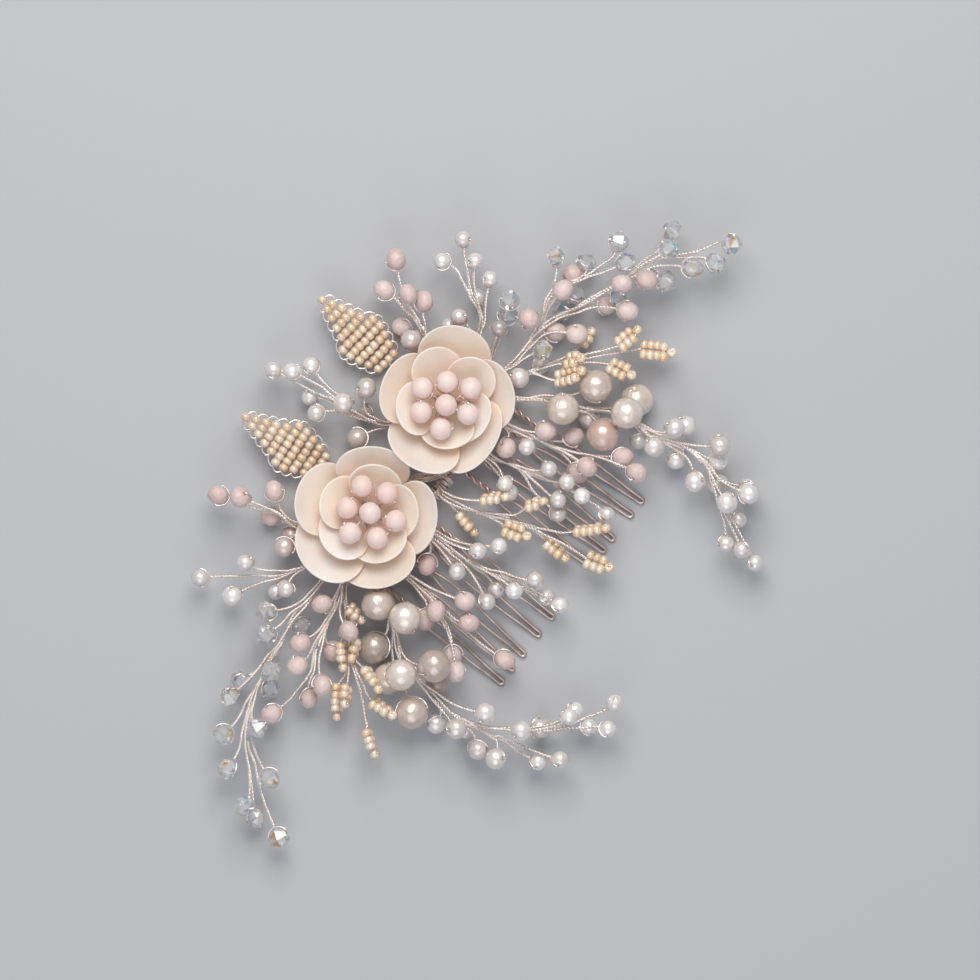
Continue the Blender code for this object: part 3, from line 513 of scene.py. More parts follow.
def setBead(kind, centre, axis, facing, tone=None):
    bead = beads[kind]
    size = bead["size"] * draw.uniform(*sizeSpread)
    spot = standing(centre, axis, facing, size / 2, bead["long"])
    if bead["tones"]:
        # a given tone is partly the bead's own tint and partly painted shade, darker where the bead lies in
        # shade
        return setCopy(masters[bead["master"]], spot, tone or draw.choice(bead["tones"]))
    copy = setCopy(masters[bead["master"]], spot)
    paint = copy.data.attributes.new("facet", "FLOAT_COLOR", "CORNER")
    for face in copy.data.polygons:         # each facet gets its own painted reflection colour
        paintedFlash = hexColour(draw.choice(paintedFlashTints))
        for corner in face.loop_indices:
            paint.data[corner].color = paintedFlash
    return copy


# Wire sprays: every bead hangs in the loop of its own twisted pair, and pairs run together as a limb

wire = {
    "strand": 0.38,             # one wire of a twisted pair
    "pitch": 1.7,               # a full turn of a pair
    "step": 0.24,
    "trunkPairs": (1.0, 0.74),  # the pairs of a spray's trunk, and how far along it each goes
    "limbPairs": (1.0,),
    "limbStep": 0.8,
    "bundle": 0.55,             # from the middle of a limb to each of its pairs
    "bundleEnd": 0.5,           # share of that left at its end
    "bundlePitch": 24.0,
    "bundleTurn": 6.0,          # most that a bundle is turned at its start, in radians
    "bundleLeast": 0.5,         # share of a limb that its bundle always covers
    "handOver": 0.8,            # share of a stem's run beside its limb that the bundle leaves to it
    "together": 5.5,            # how far a stem runs beside its limb before it leaves
    "beside": (0.8, 1.6),
    "besideStep": 0.1,          # in points of the limb
    "besideLeast": 0.3,         # share of its distance that a stem keeps towards the root
    "rootShare": 0.01,          # as near as it comes to the limb's first point
    "feel": 0.05,               # points ahead and behind that give a limb's direction
    "wander": 0.3,              # unevenness of the side on which a stem runs
    "square": 0.2,              # least cosine to its limb at which a stem sets off along it
    "elbow": 0.36,              # share of its reach before it bends
    "lastRun": 1.0,             # straight wire kept before the bead
    "bendSteps": 12,
    "trunkDia": 1.3,
    "stagger": 1.1,             # between stems that leave a limb at the same point
    "staggerLimit": 0.8,        # share of the limb's span that they may take
    "arc": 7,                   # steps of a loop on each side of its bead
    "arcStart": 4,              # degrees off the hole where a loop's bend starts
    "inHole": 0.6,              # length of wire inside each end of a bead
    "roll": 0.95,               # most that a bead is rolled round its stem, in radians
    "upright": 0.1,             # sine of the slant below which a stem counts as upright
}


def twistedPair(route):
    offset = wire["strand"] / 2
    return twist(route, 2, (offset, offset), wire["pitch"], draw.uniform(0, math.pi))


def limbBundle(limb, pairs):    # pairs wound loosely round each other
    middle = evenly(smoothRoute(limb, wire["limbStep"]), wire["step"])
    offsets = (wire["bundle"], wire["bundle"] * wire["bundleEnd"])
    ropes = twist(middle, len(pairs), offsets, wire["bundlePitch"], draw.uniform(0, wire["bundleTurn"]))
    count = len(middle)         # they stop where the last stems have come alongside
    count = max(count * wire["bundleLeast"], count - wire["handOver"] * wire["together"] / wire["step"])
    strands = []
    for rope, share in zip(ropes, pairs):
        strands += twistedPair(rope[:math.ceil(count * share)])
    return strands


def leaveShare(points, point, used):    # where on its limb a stem leaves, counted in points
    near = points[point - 1] if point else points[1]
    span = (near - points[point]).length
    step = min(wire["stagger"] * len(used), span * wire["staggerLimit"])
    used.append(step)
    return point - step / span if point else step / span


def stemRoute(points, share, target, gap):      # runs beside its limb, then bends to the target
    leave = curveAt(points, share)
    later = curveAt(points, min(share + wire["feel"], len(points) - 1))
    ahead = (later - curveAt(points, max(share - wire["feel"], 0))).normalized()
    reach = target - leave
    side = reach - ahead * reach.dot(ahead) + jitter(wire["wander"])
    side = side.normalized() * draw.uniform(*wire["beside"])
    beside = []
    run = 0.0
    spot = share
    point = leave
    while spot > wire["rootShare"] * 2 and run < wire["together"]:
        spot = max(spot - wire["besideStep"], wire["rootShare"])
        before = curveAt(points, spot)
        run += (point - before).length
        beside.append(before + side * max(wire["besideLeast"], 1 - run / wire["together"]))
        point = before
    start = leave + side
    reach = target - start
    straight = reach.normalized()
    lead = ahead if ahead.dot(straight) > wire["square"] else (ahead + straight * 2).normalized()
    room = max(reach.length - gap - wire["lastRun"], 0.0)
    elbow = start + lead * min(wire["elbow"] * reach.length, room)
    arriving = (target - elbow).normalized()
    end = target - arriving * gap
    bend = []
    for step in range(wire["bendSteps"] + 1):
        t = step / wire["bendSteps"]
        bend.append(start * (1 - t) ** 2 + elbow * 2 * t * (1 - t) + end * t * t)
    return evenly(list(reversed(beside)) + bend, wire["step"]), arriving


def beadLoop(centre, axis, back, half, reach):  # out of both ends of the hole and round the bead
    rise = wire["strand"] / 2
    routes = []
    for side in (1, -1):
        points = [centre + axis * side * (half - wire["inHole"])]
        for step in range(wire["arc"] + 1):
            turn = math.radians(mixed(wire["arcStart"], 90, step / wire["arc"]))
            points.append(centre + axis * side * math.cos(turn) * (half + rise)
                          + back * math.sin(turn) * (reach + rise))
        routes.append(points)
    return routes


def acrossOf(arriving, roll):   # a hole axis square to a stem, rolled round it
    flat = arriving.cross(upward)
    flat = flat.normalized() if flat.length > wire["upright"] else Vector((1, 0, 0))
    return (flat * math.cos(roll) + flat.cross(arriving) * math.sin(roll)).normalized()


def setTip(kind, points, share, centre, tone=None):     # a stem with one bead in its loop
    radius = beads[kind]["size"] / 2
    route, arriving = stemRoute(points, share, centre, radius + wire["strand"] / 2)
    axis = acrossOf(arriving, draw.uniform(-wire["roll"], wire["roll"]))
    routes = twistedPair(route)
    routes += beadLoop(centre, axis, -arriving, radius * beads[kind]["long"], radius)
    return routes, setBead(kind, centre, axis, arriving, tone)


ear = {
    "pitch": 1.64,              # between the pairs of beads in an ear
    "half": 1.15,               # from its middle to each row
    "bow": 0.2,                 # how much further apart the rows are halfway
    "tip": 2.2,                 # room of the bead at its end
    "partPair": 0.45,           # share of a pitch that may be lacking for one more pair
    "tipTilt": 0.5,             # most that the end bead is tilted, in radians
    "neck": (0.1, 0.9),         # where a row's wire turns in to the end bead
    "tipHole": 0.95,            # from the middle of that bead to the end of its hole
    "wireStep": 0.6,
}
seedSlip = 0.1                  # unevenness of the beads in a row
seedLean = 1.5                  # how much of it turns a bead


def laceSeed(kind, place, axis):    # a seed bead in a row, set by hand
    slip = jitter(seedSlip)
    turned = (axis + slip * seedLean).normalized()
    return place + slip, setBead(kind, place + slip, turned, turned.orthogonal().normalized())


def setEar(points, share, first, last, roll):       # two rows of seed beads on a loop, one at the end
    routes = twistedPair(stemRoute(points, share, first, 0.0)[0])
    ahead = (last - first).normalized()
    flat = ahead.cross(upward).normalized()
    side = flat * math.cos(roll) + flat.cross(ahead) * math.sin(roll)
    face = ahead.cross(side)
    pairs = max(2, math.floor(((last - first).length - ear["tip"]) / ear["pitch"] + ear["partPair"]))
    length = pairs * ear["pitch"]
    tip = first + ahead * (length + ear["tip"] / 2)
    tilt = draw.uniform(-ear["tipTilt"], ear["tipTilt"])
    hole = face * math.cos(tilt) + side * math.sin(tilt)
    copies = [setBead("seed_bead", tip, hole, ahead)]
    for row in (1, -1):
        points = [first]
        for pair in range(pairs):
            out = ear["half"] + math.sin(math.pi * (pair + 0.5) / pairs) * ear["bow"]
            place = first + ahead * ear["pitch"] * (pair + 0.5) + side * row * out
            spot, seed = laceSeed("seed_bead", place, ahead)
            copies.append(seed)
            points.append(spot)
        past, out = ear["neck"]
        points.append(first + ahead * (length + past) + side * row * out)
        points += [tip + hole * row * ear["tipHole"], tip]
        routes.append(smoothRoute(points, ear["wireStep"]))
    return routes, copies


def sprayRoot(spray):           # where a spray's trunk starts, from what carries it
    carrier, *value = spray["seat"]
    first = plan(*spray["limbs"][0][0])
    lift = layout["seatGap"] + wire["trunkDia"] / 2
    if carrier.startswith("flower"):
        return padSeat(carrier, first, *value)
    if carrier.startswith("comb"):
        middle, half = nodeBox(carrier + "_spine")
        return Vector((middle.x + value[0] * half.x, middle.y, middle.z + half.z + lift))
    if carrier == "binding":
        middle, half = nodeBox("binding_wire")
        return Vector((0, nodeBox("binding_core")[0].y, middle.z + half.z + lift))
    end = plan(*sprays[carrier]["limbs"][0][-1])
    return end + (first - end).normalized() * layout["padGap"]


def padSeat(flower, towards, height):   # on the round wall of a flower's pad, on the side of a point
    middle, half = nodeBox(flower + "_backing")
    heading = Vector((towards.x - middle.x, towards.y - middle.y, 0)).normalized()
    return Vector((middle.x, middle.y, height)) + heading * (half.x + layout["padGap"])


def makeSpray(node, spray):
    limbs = [[sprayRoot(spray)] + [plan(*point) for point in spray["limbs"][0]]]
    for (parent, point), *later in spray["limbs"][1:]:
        limbs.append([limbs[parent][point]] + [plan(*place) for place in later])
    routes = limbBundle(limbs[0], wire["trunkPairs"])
    for limb in limbs[1:]:
        routes += limbBundle(limb, wire["limbPairs"])
    copies = {}
    leaving = {}
    for kind, *tips in spray.get("tips", ()):
        for limb, point, x, y, z, *tone in tips:
            share = leaveShare(limbs[limb], point, leaving.setdefault((limb, point), []))
            more, bead = setTip(kind, limbs[limb], share, plan(x, y, z), *tone)
            routes += more
            copies.setdefault(beads[kind]["piece"], []).append(bead)
    for limb, point, first, last, roll in spray.get("ears", ()):
        share = leaveShare(limbs[limb], point, leaving.setdefault((limb, point), []))
        more, seeds = setEar(limbs[limb], share, plan(*first), plan(*last), math.radians(roll))
        routes += more
        copies.setdefault("seed_beads", []).extend(seeds)
    finishPiece(drawWires(routes, wire["strand"] / 2), node + "_wire", roseWire, "binding_wire", node)
    for piece, kept in copies.items():
        finishPiece(gather(kept), f"{node}_{piece}", *strung[piece], node)


# A seat says what carries the root: a flower's pad at a height, a comb's spine at a share of its half
# length, the binding, or the end of another spray. Limbs are drawing points with heights in mm, and all
# but the first start at (limb, point) of an earlier one. Tips go by kind of bead: each is (limb, point,
# x, y, z) and maybe its own colour, partly that bead's tint and partly painted shade, darker for beads
# that lie in shade. An ear is (limb, point, first, last, roll in degrees).
sprays = {
    "crystal_trail_right": {
        "seat": ("flower_1", 4.0),
        "limbs": [
            [(515, 361, 4.8), (541, 328, 6.5), (580, 305, 8), (610, 288, 9), (648, 262, 9.5),
             (690, 254, 10), (716, 248, 10.5)],
            [(0, 2), (550, 300, 9), (582, 279, 10), (606, 268, 10.5)],
        ],
        "tips": [
            ("crystal", (0, 1, 543, 350, 9), (1, 1, 556, 256, 11), (1, 2, 586, 263, 4.2),
             (1, 3, 619, 241, 12), (1, 3, 626, 262, 12), (0, 5, 672, 230, 9), (0, 5, 669, 249, 13),
             (0, 5, 666, 282, 7)),
            ("round_crystal", (0, 5, 693, 268, 11), (0, 6, 716, 264, 8)),
            ("crystal", (0, 7, 732, 244, 11), (1, 1, 575, 295, 4.7), (0, 2, 563, 311, 2.8),
             (0, 4, 618, 297, 6.9)),
            ("pink_bead", (1, 2, 572, 275, 7), (1, 1, 563, 290, 13), (0, 4, 622, 284, 13.4),
             (0, 5, 647, 280, 11), (0, 3, 605, 306, 3.2), (0, 3, 628, 311, 10.4), (0, 2, 529, 319, 10),
             (0, 2, 556, 332, 4.5), (0, 2, 577, 334, 9)),
        ],
    },
    "crystal_sprig_top": {
        "seat": ("flower_1", 1.6),
        "limbs": [[(490, 361, 3.6), (498, 346, 6)]],
        "tips": [
            ("crystal", (0, 2, 510, 300, 11), (0, 2, 508, 314, 6)),
            ("small_pearl", (0, 2, 499, 328, 10, "#bdb4b2")),
        ],
    },
    "gold_sprig_right": {
        "seat": ("flower_1", 1.4),
        "limbs": [
            [(512, 381, 2.4), (530, 372, 4), (556, 364, 6), (588, 358, 8.5)],
            [(0, 2), (553, 378, 7)],
        ],
        "tips": [
            ("pearl", (0, 1, 519, 378, 6.6)),
            ("small_pearl", (0, 2, 541, 365, 2.3)),
        ],
        "ears": [
            (0, 4, (618, 346, 10), (641, 327, 11), 45), (0, 4, (640, 349, 7.6), (674, 353, 7.2), 25),
            (0, 4, (609, 364.5, 7.5), (638, 378.5, 8.8), 30), (0, 3, (580, 346, 4), (595, 327, 3.5), 60),
            (0, 3, (566, 361, 9), (586, 357, 12), 50), (1, 1, (556, 380, 8), (587, 369, 13), 35),
        ],
    },
    "ivory_spray_right": {
        "seat": ("comb_1", 0.94),
        "limbs": [[(524, 399, 5.4), (545, 399, 5.4), (580, 407, 5.2), (612, 412, 6), (632, 420, 6.5)]],
        "tips": [
            ("large_pearl", (0, 2, 596, 386, 9.5, "#ddcfc5"), (0, 2, 563, 409, 11.6),
             (0, 4, 637, 400, 4.6), (0, 4, 627, 413, 12.5), (0, 3, 603, 435, 8.5, "#dcbfb6")),
            ("pearl", (0, 3, 590, 419, 2.8)),
        ],
    },
    "pearl_trail_right": {
        "seat": ("ivory_spray_right",),
        "limbs": [[(655, 437, 7.5), (684, 447, 8.5), (703, 462, 8.5), (713, 481, 8.5), (725, 504, 8.5)]],
        "tips": [
            ("pearl", (0, 1, 654, 447, 12), (0, 1, 675, 428, 12), (0, 1, 686, 426, 7)),
            ("small_pearl", (0, 1, 638, 441, 4.5)),
            ("pearl", (0, 2, 676, 459, 4.5), (0, 2, 695, 482, 8.5), (0, 2, 720, 446, 11.5),
             (0, 3, 718, 461, 6.5), (0, 4, 718, 484, 4), (0, 4, 727, 503, 12.5)),
            ("small_pearl", (0, 4, 747, 487, 5.5)),
            ("pearl", (0, 4, 749, 494, 10.5)),
            ("small_pearl", (0, 5, 738, 520, 5), (0, 5, 726, 544, 8), (0, 5, 742, 550, 9),
             (0, 5, 755, 563, 6.5)),
        ],
    },
    "pink_spray_right": {
        "seat": ("comb_1", 0.48),
        "limbs": [[(513, 429, 5.6), (535, 437, 6.6), (560, 447, 7.5), (583, 450, 8)]],
        "tips": [
            ("pink_bead", (0, 1, 546, 431, 9.2), (0, 3, 574, 437, 5.6), (0, 1, 506, 448, 8),
             (0, 4, 623, 457, 9), (0, 4, 637, 473, 12), (0, 3, 587, 467, 12), (0, 3, 578, 473, 6)),
            ("small_pearl", (0, 2, 527, 447, 10)),
        ],
    },
    "pearl_spray_right": {
        "seat": ("comb_1", -0.17),
        "limbs": [
            [(492, 457, 5.4), (520, 468, 6), (547, 480, 6.6), (575, 493, 7), (592, 507, 7)],
            [(0, 2), (540, 489, 6)],
        ],
        "tips": [
            ("small_pearl", (0, 2, 549, 469, 11), (0, 3, 567, 482, 11), (0, 4, 582, 496, 11),
             (0, 5, 607, 515, 8), (0, 1, 505, 484, 9.6), (0, 1, 510, 493, 5.9), (1, 1, 558, 500, 9.5),
             (1, 1, 558, 514, 6)),
        ],
    },
    "gold_sprig_middle": {
        "seat": ("binding",),
        "limbs": [[(445, 498, 6.5), (466, 508, 7), (485, 513, 7.5), (506, 518, 8), (530, 526, 8.6),
                   (553, 534, 9)]],
        "ears": [
            (0, 1, (481, 500, 10.5), (513, 496, 12.5), 76), (0, 4, (526, 507, 12), (548, 500, 13), 74),
            (0, 1, (458, 513, 4.5), (478, 537, 4.5), 78), (0, 4, (503.5, 527, 8), (532.5, 538.5, 8.8), 30),
            (0, 5, (546, 541, 6), (570, 562, 6), 62), (0, 6, (574, 531, 11), (609, 528, 12), 76),
            (0, 6, (585.5, 558, 8), (616.5, 571, 7.8), 25),
        ],
    },
    "pearl_spray_middle": {
        "seat": ("comb_2", 0.63),
        "limbs": [[(437, 539, 5.6), (456, 553, 6.2), (480, 567, 7), (503, 577, 7.5), (523, 590, 7.5)]],
        "tips": [
            ("small_pearl", (0, 1, 478, 551, 10), (0, 1, 499, 546, 8), (0, 1, 457, 572, 9.5),
             (0, 4, 535, 580, 10.5), (0, 3, 496, 590, 4.5), (0, 4, 514, 591, 11.5),
             (0, 5, 546, 597, 5.5), (0, 5, 560, 605, 8), (0, 2, 487, 602, 8.5)),
            ("pink_bead", (0, 1, 427, 565, 5.8, "#cfa8a4")),
        ],
    },
    "pink_spray_bottom": {
        "seat": ("comb_2", -0.39),
        "limbs": [[(407, 577, 5.6), (430, 596, 6), (447, 615, 6.5), (466, 635, 7)]],
        "tips": [
            ("pink_bead", (0, 1, 465, 601, 12), (0, 3, 469, 623, 11), (0, 2, 436, 611, 11),
             (0, 2, 425, 620, 6), (0, 3, 453, 656, 5.2), (0, 3, 456, 672, 9), (0, 4, 505, 660, 7)),
        ],
    },
    "ivory_spray_bottom": {
        "seat": ("comb_2", -0.92),
        "limbs": [[(390, 596, 4.8), (394, 628, 4.4), (398, 653, 4.6), (411, 672, 6)]],
        "tips": [
            ("large_pearl", (0, 1, 378, 604, 8.2, "#dccdc2"), (0, 2, 405, 618, 11.5),
             (0, 2, 374, 648, 4.2, "#bdb1a7"), (0, 3, 401, 675, 12.5), (0, 3, 388, 679, 4.2),
             (0, 3, 434, 666, 13.3, "#d0c1b9")),
            ("pearl", (0, 3, 437, 684, 4.2, "#cbb3a8")),
            ("large_pearl", (0, 3, 412, 713, 8.8, "#d6c8be")),
        ],
    },
    "pearl_trail_bottom": {
        "seat": ("ivory_spray_bottom",),
        "limbs": [
            [(440, 703, 7.5), (470, 724, 8.5), (510, 729, 9), (545, 731, 9), (588, 721, 8.5)],
            [(0, 2), (495, 735, 8), (522, 748, 7)],
        ],
        "tips": [
            ("pearl", (0, 1, 436, 724, 3.8), (0, 1, 456, 729, 12)),
            ("small_pearl", (0, 2, 465, 730, 4)),
            ("pearl", (0, 1, 485, 713, 12), (0, 2, 478, 750, 6), (1, 1, 496, 759, 9),
             (0, 3, 521, 731, 13), (0, 3, 540, 728, 5)),
            ("small_pearl", (1, 2, 538, 762, 6), (1, 2, 560, 760, 8.5), (0, 4, 569, 717, 12),
             (0, 4, 575, 710, 6.5), (0, 4, 589, 727, 4.5), (0, 5, 615, 703, 9.5),
             (0, 5, 608, 729, 7.5)),
        ],
    },
    "gold_sprig_bottom": {
        "seat": ("flower_2", 1.4),
        "limbs": [[(352, 573, 2), (345, 592, 3), (349, 625, 5.5), (353, 662, 7), (361, 690, 7.5),
                   (364, 724, 8)]],
        "ears": [
            (0, 2, (348, 607, 7), (366, 625, 6), 62), (0, 3, (341, 642, 8.1), (343, 670, 8.5), 80),
            (0, 3, (357, 642, 7.7), (350, 664, 10), 80), (0, 4, (338, 684, 6), (337, 719, 6), 66),
            (0, 4, (347, 686, 9), (344, 710, 10.5), 74), (0, 4, (365, 668, 12), (380, 692, 13.5), 78),
            (0, 5, (372, 701, 9.5), (397, 719, 11), 66), (0, 6, (366, 730, 8.5), (376, 758, 9), 80),
        ],
    },
    "pink_spray_left": {
        "seat": ("flower_2", 4.0),
        "limbs": [[(345, 574, 4.4), (336, 604, 6), (325, 627, 7), (316, 648, 7.5), (310, 672, 8),
                   (290, 692, 7.5)]],
        "tips": [
            ("pink_bead", (0, 2, 322, 604, 9), (0, 2, 349, 631, 12), (0, 3, 333, 651, 2.9),
             (0, 3, 300, 643, 11), (0, 4, 297, 666, 12), (0, 4, 322, 686, 10), (0, 5, 308, 698, 5),
             (0, 6, 271, 714, 6.5)),
        ],
    },
    "crystal_trail_left": {
        "seat": ("flower_2", 4.0),
        "limbs": [
            [(328, 571, 4.4), (312, 597, 6), (293, 618, 7), (281, 642, 7.5), (266, 668, 8), (250, 706, 8.5),
             (246, 735, 8.5), (249, 765, 8), (253, 797, 7.5)],
        ],
        "tips": [
            ("crystal", (0, 2, 266, 612, 9), (0, 3, 266, 635, 10), (0, 3, 301, 625, 3.5),
             (0, 5, 271, 671, 12), (0, 5, 270, 689, 6.5), (0, 5, 229, 697, 9.5), (0, 5, 239, 681, 5),
             (0, 6, 223, 735, 9)),
            ("round_crystal", (0, 7, 227, 769, 8.5)),
            ("crystal", (0, 6, 257, 729, 12.5)),
            ("round_crystal", (0, 7, 270, 779, 10), (0, 9, 243, 806, 10), (0, 9, 255, 818, 5)),
            ("crystal", (0, 8, 279, 838, 6.5)),
        ],
    },
    "pearl_spray_left": {
        "seat": ("flower_2", 1.6),
        "limbs": [[(317, 555, 3), (300, 568, 4.4), (272, 575, 6), (240, 573, 7)]],
        "tips": [
            ("small_pearl", (0, 4, 200, 578, 7), (0, 3, 245, 563, 10.5)),
            ("pearl", (0, 3, 232, 596, 7.5)),
            ("small_pearl", (0, 2, 286, 589, 7.5), (0, 2, 276, 592, 3.4)),
        ],
    },
    "pink_sprig_left": {
        "seat": ("flower_2", 4.0),
        "limbs": [[(298, 527, 5), (276, 513, 7.5), (253, 504, 8.5)]],
        "tips": [
            ("pink_bead", (0, 3, 218, 495, 8), (0, 3, 240, 497, 11.5), (0, 1, 274, 491, 9.5),
             (0, 1, 271, 516, 3.6)),
            ("pearl", (0, 1, 284, 547, 7.5, "#dfcdc8"), (0, 1, 291, 536, 3, "#d8c3be")),
        ],
    },
    "pearl_spray_top": {
        "seat": ("flower_1", 2.4),
        "limbs": [[(388, 424, 3.4), (371, 421, 5), (350, 412, 7), (334, 400, 7.5), (314, 389, 8)]],
        "tips": [
            ("small_pearl", (0, 5, 273, 370, 7.5), (0, 5, 292, 371, 9.5), (0, 4, 311, 365, 8),
             (0, 4, 310, 397, 4), (0, 3, 316, 413, 8)),
            ("pearl", (0, 3, 343, 403, 11.5), (0, 2, 366, 388, 8.5, "#d8d2ce")),
            ("small_pearl", (0, 2, 365, 411, 3, "#cdc5c2")),
            ("pearl", (0, 1, 357, 438, 4.6, "#dcd4cd")),
        ],
    },
    "pink_sprig_top": {
        "seat": ("flower_1", 4.0),
        "limbs": [[(428, 345, 4.8), (418, 322, 7), (404, 302, 8)]],
        "tips": [
            ("pink_bead", (0, 3, 396, 259, 9), (0, 3, 384, 290, 8), (0, 3, 408, 294, 12),
             (0, 2, 424, 301, 8.5), (0, 1, 402, 327, 3)),
            ("pearl", (0, 1, 411, 340, 7, "#e3d6d4")),
        ],
    },
    "pearl_sprig_top": {
        "seat": ("flower_1", 4.0),
        "limbs": [[(474, 345, 4.8), (481, 320, 7), (472, 298, 8.5), (464, 272, 9)]],
        "tips": [
            ("small_pearl", (0, 4, 463, 239, 10), (0, 4, 442, 261, 9), (0, 3, 475, 261, 11.5),
             (0, 2, 490, 279, 9), (0, 3, 478, 297, 5), (0, 1, 459, 317, 8), (0, 1, 449, 326, 4)),
        ],
    },
}
for node, spray in sprays.items():
    makeSpray(node, spray)
print("sprays made")


# Beaded leaves: rows of seed beads laced side by side, a wire loop from row to row on both edges

leaf = {
    "rows": (1, 2, 3, 4, 5, 7, 7, 6, 5, 4),     # seed beads in each row, from the tip
    "rowPitch": 2.36,
    "firstRow": 0.2,            # from the tip to the middle of its bead
    "beadPitch": 1.7,
    "bulge": 1.0,               # how far an edge loop stands out
    "loopSteps": 8,
    "roundness": 0.7,           # lower is a fuller loop
    "flare": 0.5,               # how far it spreads past its two rows
    "uneven": (0.9, 1.1),
    "ripple": 0.12,             # unevenness of the rows' heights
    "lacing": 0.44,             # wire through the rows
    "leaf_1": {"flower": "flower_1", "tip": (322, 299, 6.5), "root": (396, 371, 3.4)},
    "leaf_2": {"flower": "flower_2", "tip": (245, 417, 6.5), "root": (333, 474, 3.4)},
}


def makeLeaf(node):
    root = plan(*leaf[node]["root"])
    tip = plan(*leaf[node]["tip"])
    seat = padSeat(leaf[node]["flower"], root, root.z)
    along = (root - tip).normalized()
    side = upward.cross(along).normalized()
    up = along.cross(side)
    copies = []
    routes = []
    ends = []
    for row, count in enumerate(leaf["rows"]):
        ripple = up * draw.uniform(-leaf["ripple"], leaf["ripple"])
        middle = tip + along * (leaf["firstRow"] + leaf["rowPitch"] * row) + ripple
        half = (count - 1) / 2 * leaf["beadPitch"]
        for number in range(count):
            place = middle + side * (number * leaf["beadPitch"] - half)
            copies.append(laceSeed("leaf_bead", place, side)[1])
        reach = half + leaf["beadPitch"] / 2
        ends.append((middle, reach))
        routes.append([middle - side * reach, middle + side * reach])
    for (near, nearReach), (far, farReach) in zip(ends, ends[1:]):
        for edge in (1, -1):
            leave = near + side * edge * nearReach
            enter = far + side * edge * farReach
            points = []
            for step in range(leaf["loopSteps"] + 1):
                t = step / leaf["loopSteps"]
                swell = math.sin(math.pi * t) ** leaf["roundness"] * draw.uniform(*leaf["uneven"])
                points.append(mixed(leave, enter, t) + side * edge * leaf["bulge"] * swell
                              - along * swell * leaf["flare"] * (0.5 - t))
            routes.append(points)
    base = ends[-1][0]
    lacing = drawWires(routes, leaf["lacing"] / 2)
    midrib = evenly([seat, mixed(seat, base, 0.5), base], wire["step"])
    stem = drawWires(twistedPair(midrib), wire["strand"] / 2)
    finishPiece(gather([lacing, stem]), node + "_wire", roseWire, "binding_wire", node)
    finishPiece(gather(copies), node + "_seed_beads", creamSeed, "gold_bead", node)


for node in ("leaf_1", "leaf_2"):
    makeLeaf(node)
print("leaves made")


# Flowers: a felt pad, two whorls of clay petals and a cluster of frosted beads on wire

flower = {
    "rimPoints": 32,
    "rings": (0.05, 0.1, 0.17, 0.2, 0.2),   # insets from the rim of a petal's disc to its middle
    "thickness": 0.45,
    "egg": 0.12,                # how much wider a petal is past its middle
    "curve": 1.5,               # power of a petal's rise
    "wave": 0.22,               # unevenness of a petal's rim
    "lobes": ((3, 1.0), (5, 0.6)),          # its waves round the rim and their strengths
    # start and seat place a petal's root, bend draws its sides back and cup lifts them; the outer rims
    # stand high enough for the sprays to be lifted under them; a pinwheel is the rise per mm across,
    # so that each petal laps the next
    "outer": {"start": 4.3, "bend": 0.7, "rise": 6.0, "seat": 6.74, "cup": 1.0, "pinwheel": 0.14,
              "tones": ("#f9e2d4", "#f6dccc", "#fae5d8")},
    "inner": {"start": 2.5, "bend": 0.9, "rise": 6.1, "seat": 8.39, "cup": 0.3, "pinwheel": 0.18,
              "tones": ("#fdefe3", "#fcebdb", "#fdf2e9")},
    "stamenHeight": 15.4,
    "centreLift": 0.9,          # how much higher the middle bead sits
    "stamenRoll": 0.5,          # most that an outer one is rolled round its stem, in radians
    "stamenLong": 0.98,
    "looseLoop": 0.5,           # room between a stamen and the loop round it
    "fork": 9.6,                # heights where the stems part and start
    "foot": 7.7,
    "forkShare": 1.9,           # where they leave the trunk, in its points
    "blushTones": ("#f8d6d0", "#f6d0c9", "#f9dcd7"),
    "padSides": 48,
    "padEdge": 0.7,             # its rounding
    "padProfile": ((5.2, 5.6), (3.6, 5.6), (3.6, 7.4)),     # radius and height of its steps
    "padWall": 4.8,
    # a petal is (heading, reach, half width, shift to its left), degrees and mm, and maybe a further rise
    "flower_1": {
        "plan": (446, 405),
        "stamens": ((422, 388), (447, 382), (471, 388), (468, 414), (441, 429), (421, 412)),
        "outer": ((28, 19.3, 8.9, 0), (105, 16.4, 8.9, 0), (188, 17.2, 9.3, 0, 1.3), (267, 15.7, 9.6, -3.0),
                  (321, 16.8, 8.7, 0)),
        "inner": ((-6, 14.2, 6.1, -0.5), (52, 14.3, 6.4, 0), (134, 12.2, 6.6, 0), (221, 10.7, 6.5, 0),
                  (278, 11.2, 6.6, 0.4)),
    },
    "flower_2": {
        "plan": (370, 513),
        "stamens": ((362, 486), (387, 493), (396, 521), (377, 538), (350, 533), (347, 508)),
        "outer": ((34, 16.1, 9.0, 0), (111, 18.5, 9.0, 0), (168, 20.3, 9.4, 0), (226, 18.3, 9.4, 0),
                  (301, 16.3, 9.1, 0)),
        "inner": ((27, 11.9, 6.5, 0), (107, 12.6, 6.6, 0), (166, 13.8, 6.8, 0), (236, 12.4, 6.8, 0),
                  (311, 11.8, 6.6, 0)),
    },
}


def petalDisc():                # a flat disc of rings, one unit in radius, for every petal
    startFresh()
    bpy.ops.mesh.primitive_circle_add(vertices=flower["rimPoints"], radius=1, fill_type="NGON")
    disc = bpy.context.object
    editAll()
    for step in flower["rings"]:
        bpy.ops.mesh.inset(thickness=step)
    bpy.ops.mesh.poke()
    bpy.ops.object.mode_set(mode="OBJECT")
    return disc


